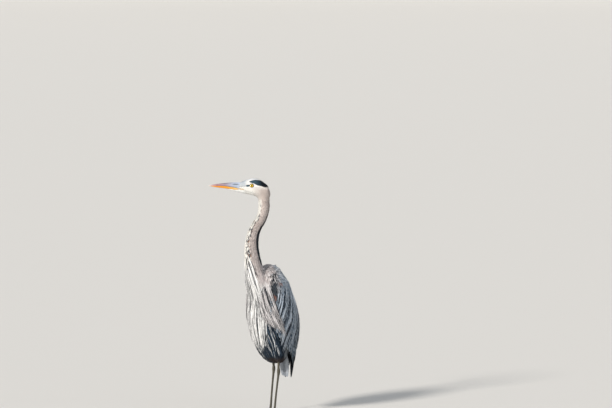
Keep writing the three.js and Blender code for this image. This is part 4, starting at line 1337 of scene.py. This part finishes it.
# Bare skin of lids and lores: fine soft wrinkles, slightly moist.
bareSkin, tree, shader = material("bare face skin")
place = addNode(tree, "TexCoord")
wrinkles = addNode(tree, "TexNoise", Vector=place.outputs["Object"], Scale=1400.0, Detail=4.0)  # 0.7 mm
shade = addNode(tree, "MapRange", i0=wrinkles.outputs[0], i1=0.3, i2=0.7, i3=0.8, i4=1.2)
tintedSurface(tree, shader, shade, wrinkles, 0.4, 0.0003)
finishAs(shader, Roughness=0.5)


# Leg: horny plates and small round scales, dull olive-brown.
scaledLeg, tree, shader = material("scaled leg skin")
place = addNode(tree, "TexCoord")
# scales about 2.4 mm across
scales = addNode(tree, "TexVoronoi", {"feature": "DISTANCE_TO_EDGE"}, Vector=place.outputs["Object"],
                 Scale=420.0)
seams = addNode(tree, "MapRange", i0=scales.outputs[0], i1=0.0, i2=0.12, i3=0.72, i4=1.06)
dust = addNode(tree, "TexNoise", Vector=place.outputs["Object"], Scale=60.0, Detail=4.0)
dusty = addNode(tree, "MapRange", i0=dust.outputs[0], i1=0.35, i2=0.7, i3=0.85, i4=1.25)
strength = addNode(tree, "Math", {"operation": "MULTIPLY"}, i0=seams.outputs[0], i1=dusty.outputs[0])
tintedSurface(tree, shader, strength, seams, 0.35, 0.0003)
finishAs(shader, Roughness=0.55)


# Claw: dense dark horn with a dull polish and pale scuffs.
clawHorn, tree, shader = material("claw horn")
place = addNode(tree, "TexCoord")
scuffs = addNode(tree, "TexNoise", Vector=place.outputs["Object"], Scale=500.0, Detail=3.0)
hornTones = addNode(tree, "MixRGB", Fac=scuffs.outputs[0], Color1=(*tone("#14120f"), 1),
                    Color2=(*tone("#4a443a"), 1))
tree.links.new(hornTones.outputs[0], shader.inputs["Base Color"])
finishAs(shader, Roughness=0.35, IOR=1.54)

for group, look in (("soft", softDown), ("plumes", plumeBarbs), ("vaned", stiffVane)):
    for piece in plumage[group]:
        piece.data.materials.append(look)
for pieces, look in (([skin], underSkin), ([billUpper, billLower], billHorn), (eyes, wetEye), (lids, bareSkin),
                     (legs, scaledLeg), (claws, clawHorn)):
    for piece in pieces:
        piece.data.materials.clear()
        piece.data.materials.append(look)
for piece in sum(plumage.values(), []) + [skin, billUpper, billLower] + eyes + lids + legs + claws:
    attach(piece, "root")


# floor, light and camera
# metres; the floor sweeps up far from the bird
floorPlan = {"flat": 26, "run": 7, "rise": 4.5, "steps": 12, "sides": 96}
sweep = np.linspace(0, 1, floorPlan["steps"])[:, None]
turn = np.linspace(0, 2 * np.pi, floorPlan["sides"], endpoint=False)[None, :]
reachOut = np.concatenate([[[20.0]], floorPlan["flat"] + floorPlan["run"] * sweep])
height = np.concatenate([[[0.0]], floorPlan["rise"] * sweep ** 2.2])
floorPoints = np.stack([reachOut * np.cos(turn), reachOut * np.sin(turn), height + 0 * turn], -1)
corner = np.arange(floorPoints[..., 0].size).reshape(floorPoints.shape[:2])
floorFaces = np.stack([corner[:-1], np.roll(corner, -1, 1)[:-1], np.roll(corner, -1, 1)[1:], corner[1:]], -1)
floorFaces = [face[::-1] for face in floorFaces.reshape(-1, 4).tolist()] + [corner[0].tolist()]
floorMesh = bpy.data.meshes.new("floor")
floorMesh.from_pydata(floorPoints.reshape(-1, 3).tolist(), [], floorFaces)
smoothShaded(floorMesh)
placed("floor", floorMesh)
paleFloor, tree, shader = material("pale matte floor")
finishAs(shader, Base_Color=(*tone("#d4d2cd"), 1), Roughness=0.9)
floorMesh.materials.append(paleFloor)

world = bpy.data.worlds.new("studio")
world.use_nodes = True
world.node_tree.nodes["Background"].inputs[0].default_value = (*tone("#dfe4ea"), 1)
world.node_tree.nodes["Background"].inputs[1].default_value = 0.5
scene.world = world
scene.view_settings.view_transform = "Standard"

cameraPlan = {"right": (0.643, 0.766, 0), "up": (-0.080, 0.0672, 0.9945), "lens": 300, "distance": 21.93,
              "aimRight": 149.6, "aimUp": 903}  # mm from the bird's origin along the picture's right and up
pictureRight = unit(np.array(cameraPlan["right"]))
pictureUp = unit(np.array(cameraPlan["up"]) - pictureRight * dot(np.array(cameraPlan["up"]), pictureRight))
pictureBack = np.cross(pictureRight, pictureUp)
aim = toScene(pictureRight * cameraPlan["aimRight"] + pictureUp * cameraPlan["aimUp"])
camera = bpy.data.objects.new("camera", bpy.data.cameras.new("camera"))
camera.data.lens = cameraPlan["lens"]
camera.data.sensor_width = 36
camera.data.clip_end = 400
away = cameraPlan["distance"]
camera.matrix_world = Matrix(np.block([
    [np.stack([pictureRight, pictureUp, pictureBack], 1), (aim + pictureBack * away)[:, None]],
    [np.array([[0, 0, 0, 1.0]])]]).tolist())
scene.collection.objects.link(camera)
scene.camera = camera


def softLight(name, offset, spread, strength, colour):  # a broad even light from far away
    light = bpy.data.lights.new(name, "SUN")
    light.angle = np.radians(spread)
    light.energy = strength
    light.color = tone(colour)
    lamp = bpy.data.objects.new(name, light)
    lamp.location = Vector(offset)
    lamp.rotation_euler = (-Vector(offset)).to_track_quat("-Z", "Y").to_euler()
    scene.collection.objects.link(lamp)


softLight("key", pictureRight * -3.0 + pictureBack * 3.1 + np.array([0, 0, 2.3]), 10, 3.6, "#fff9f2")
softLight("fill", pictureRight * 3.5 + pictureBack * 3.0 + np.array([0, 0, 1.6]), 60, 0.35, "#e4eeff")
softLight("rim", pictureRight * 1.5 + pictureBack * -3.0 + np.array([0, 0, 2.6]), 40, 0.45, "#f4f6ff")
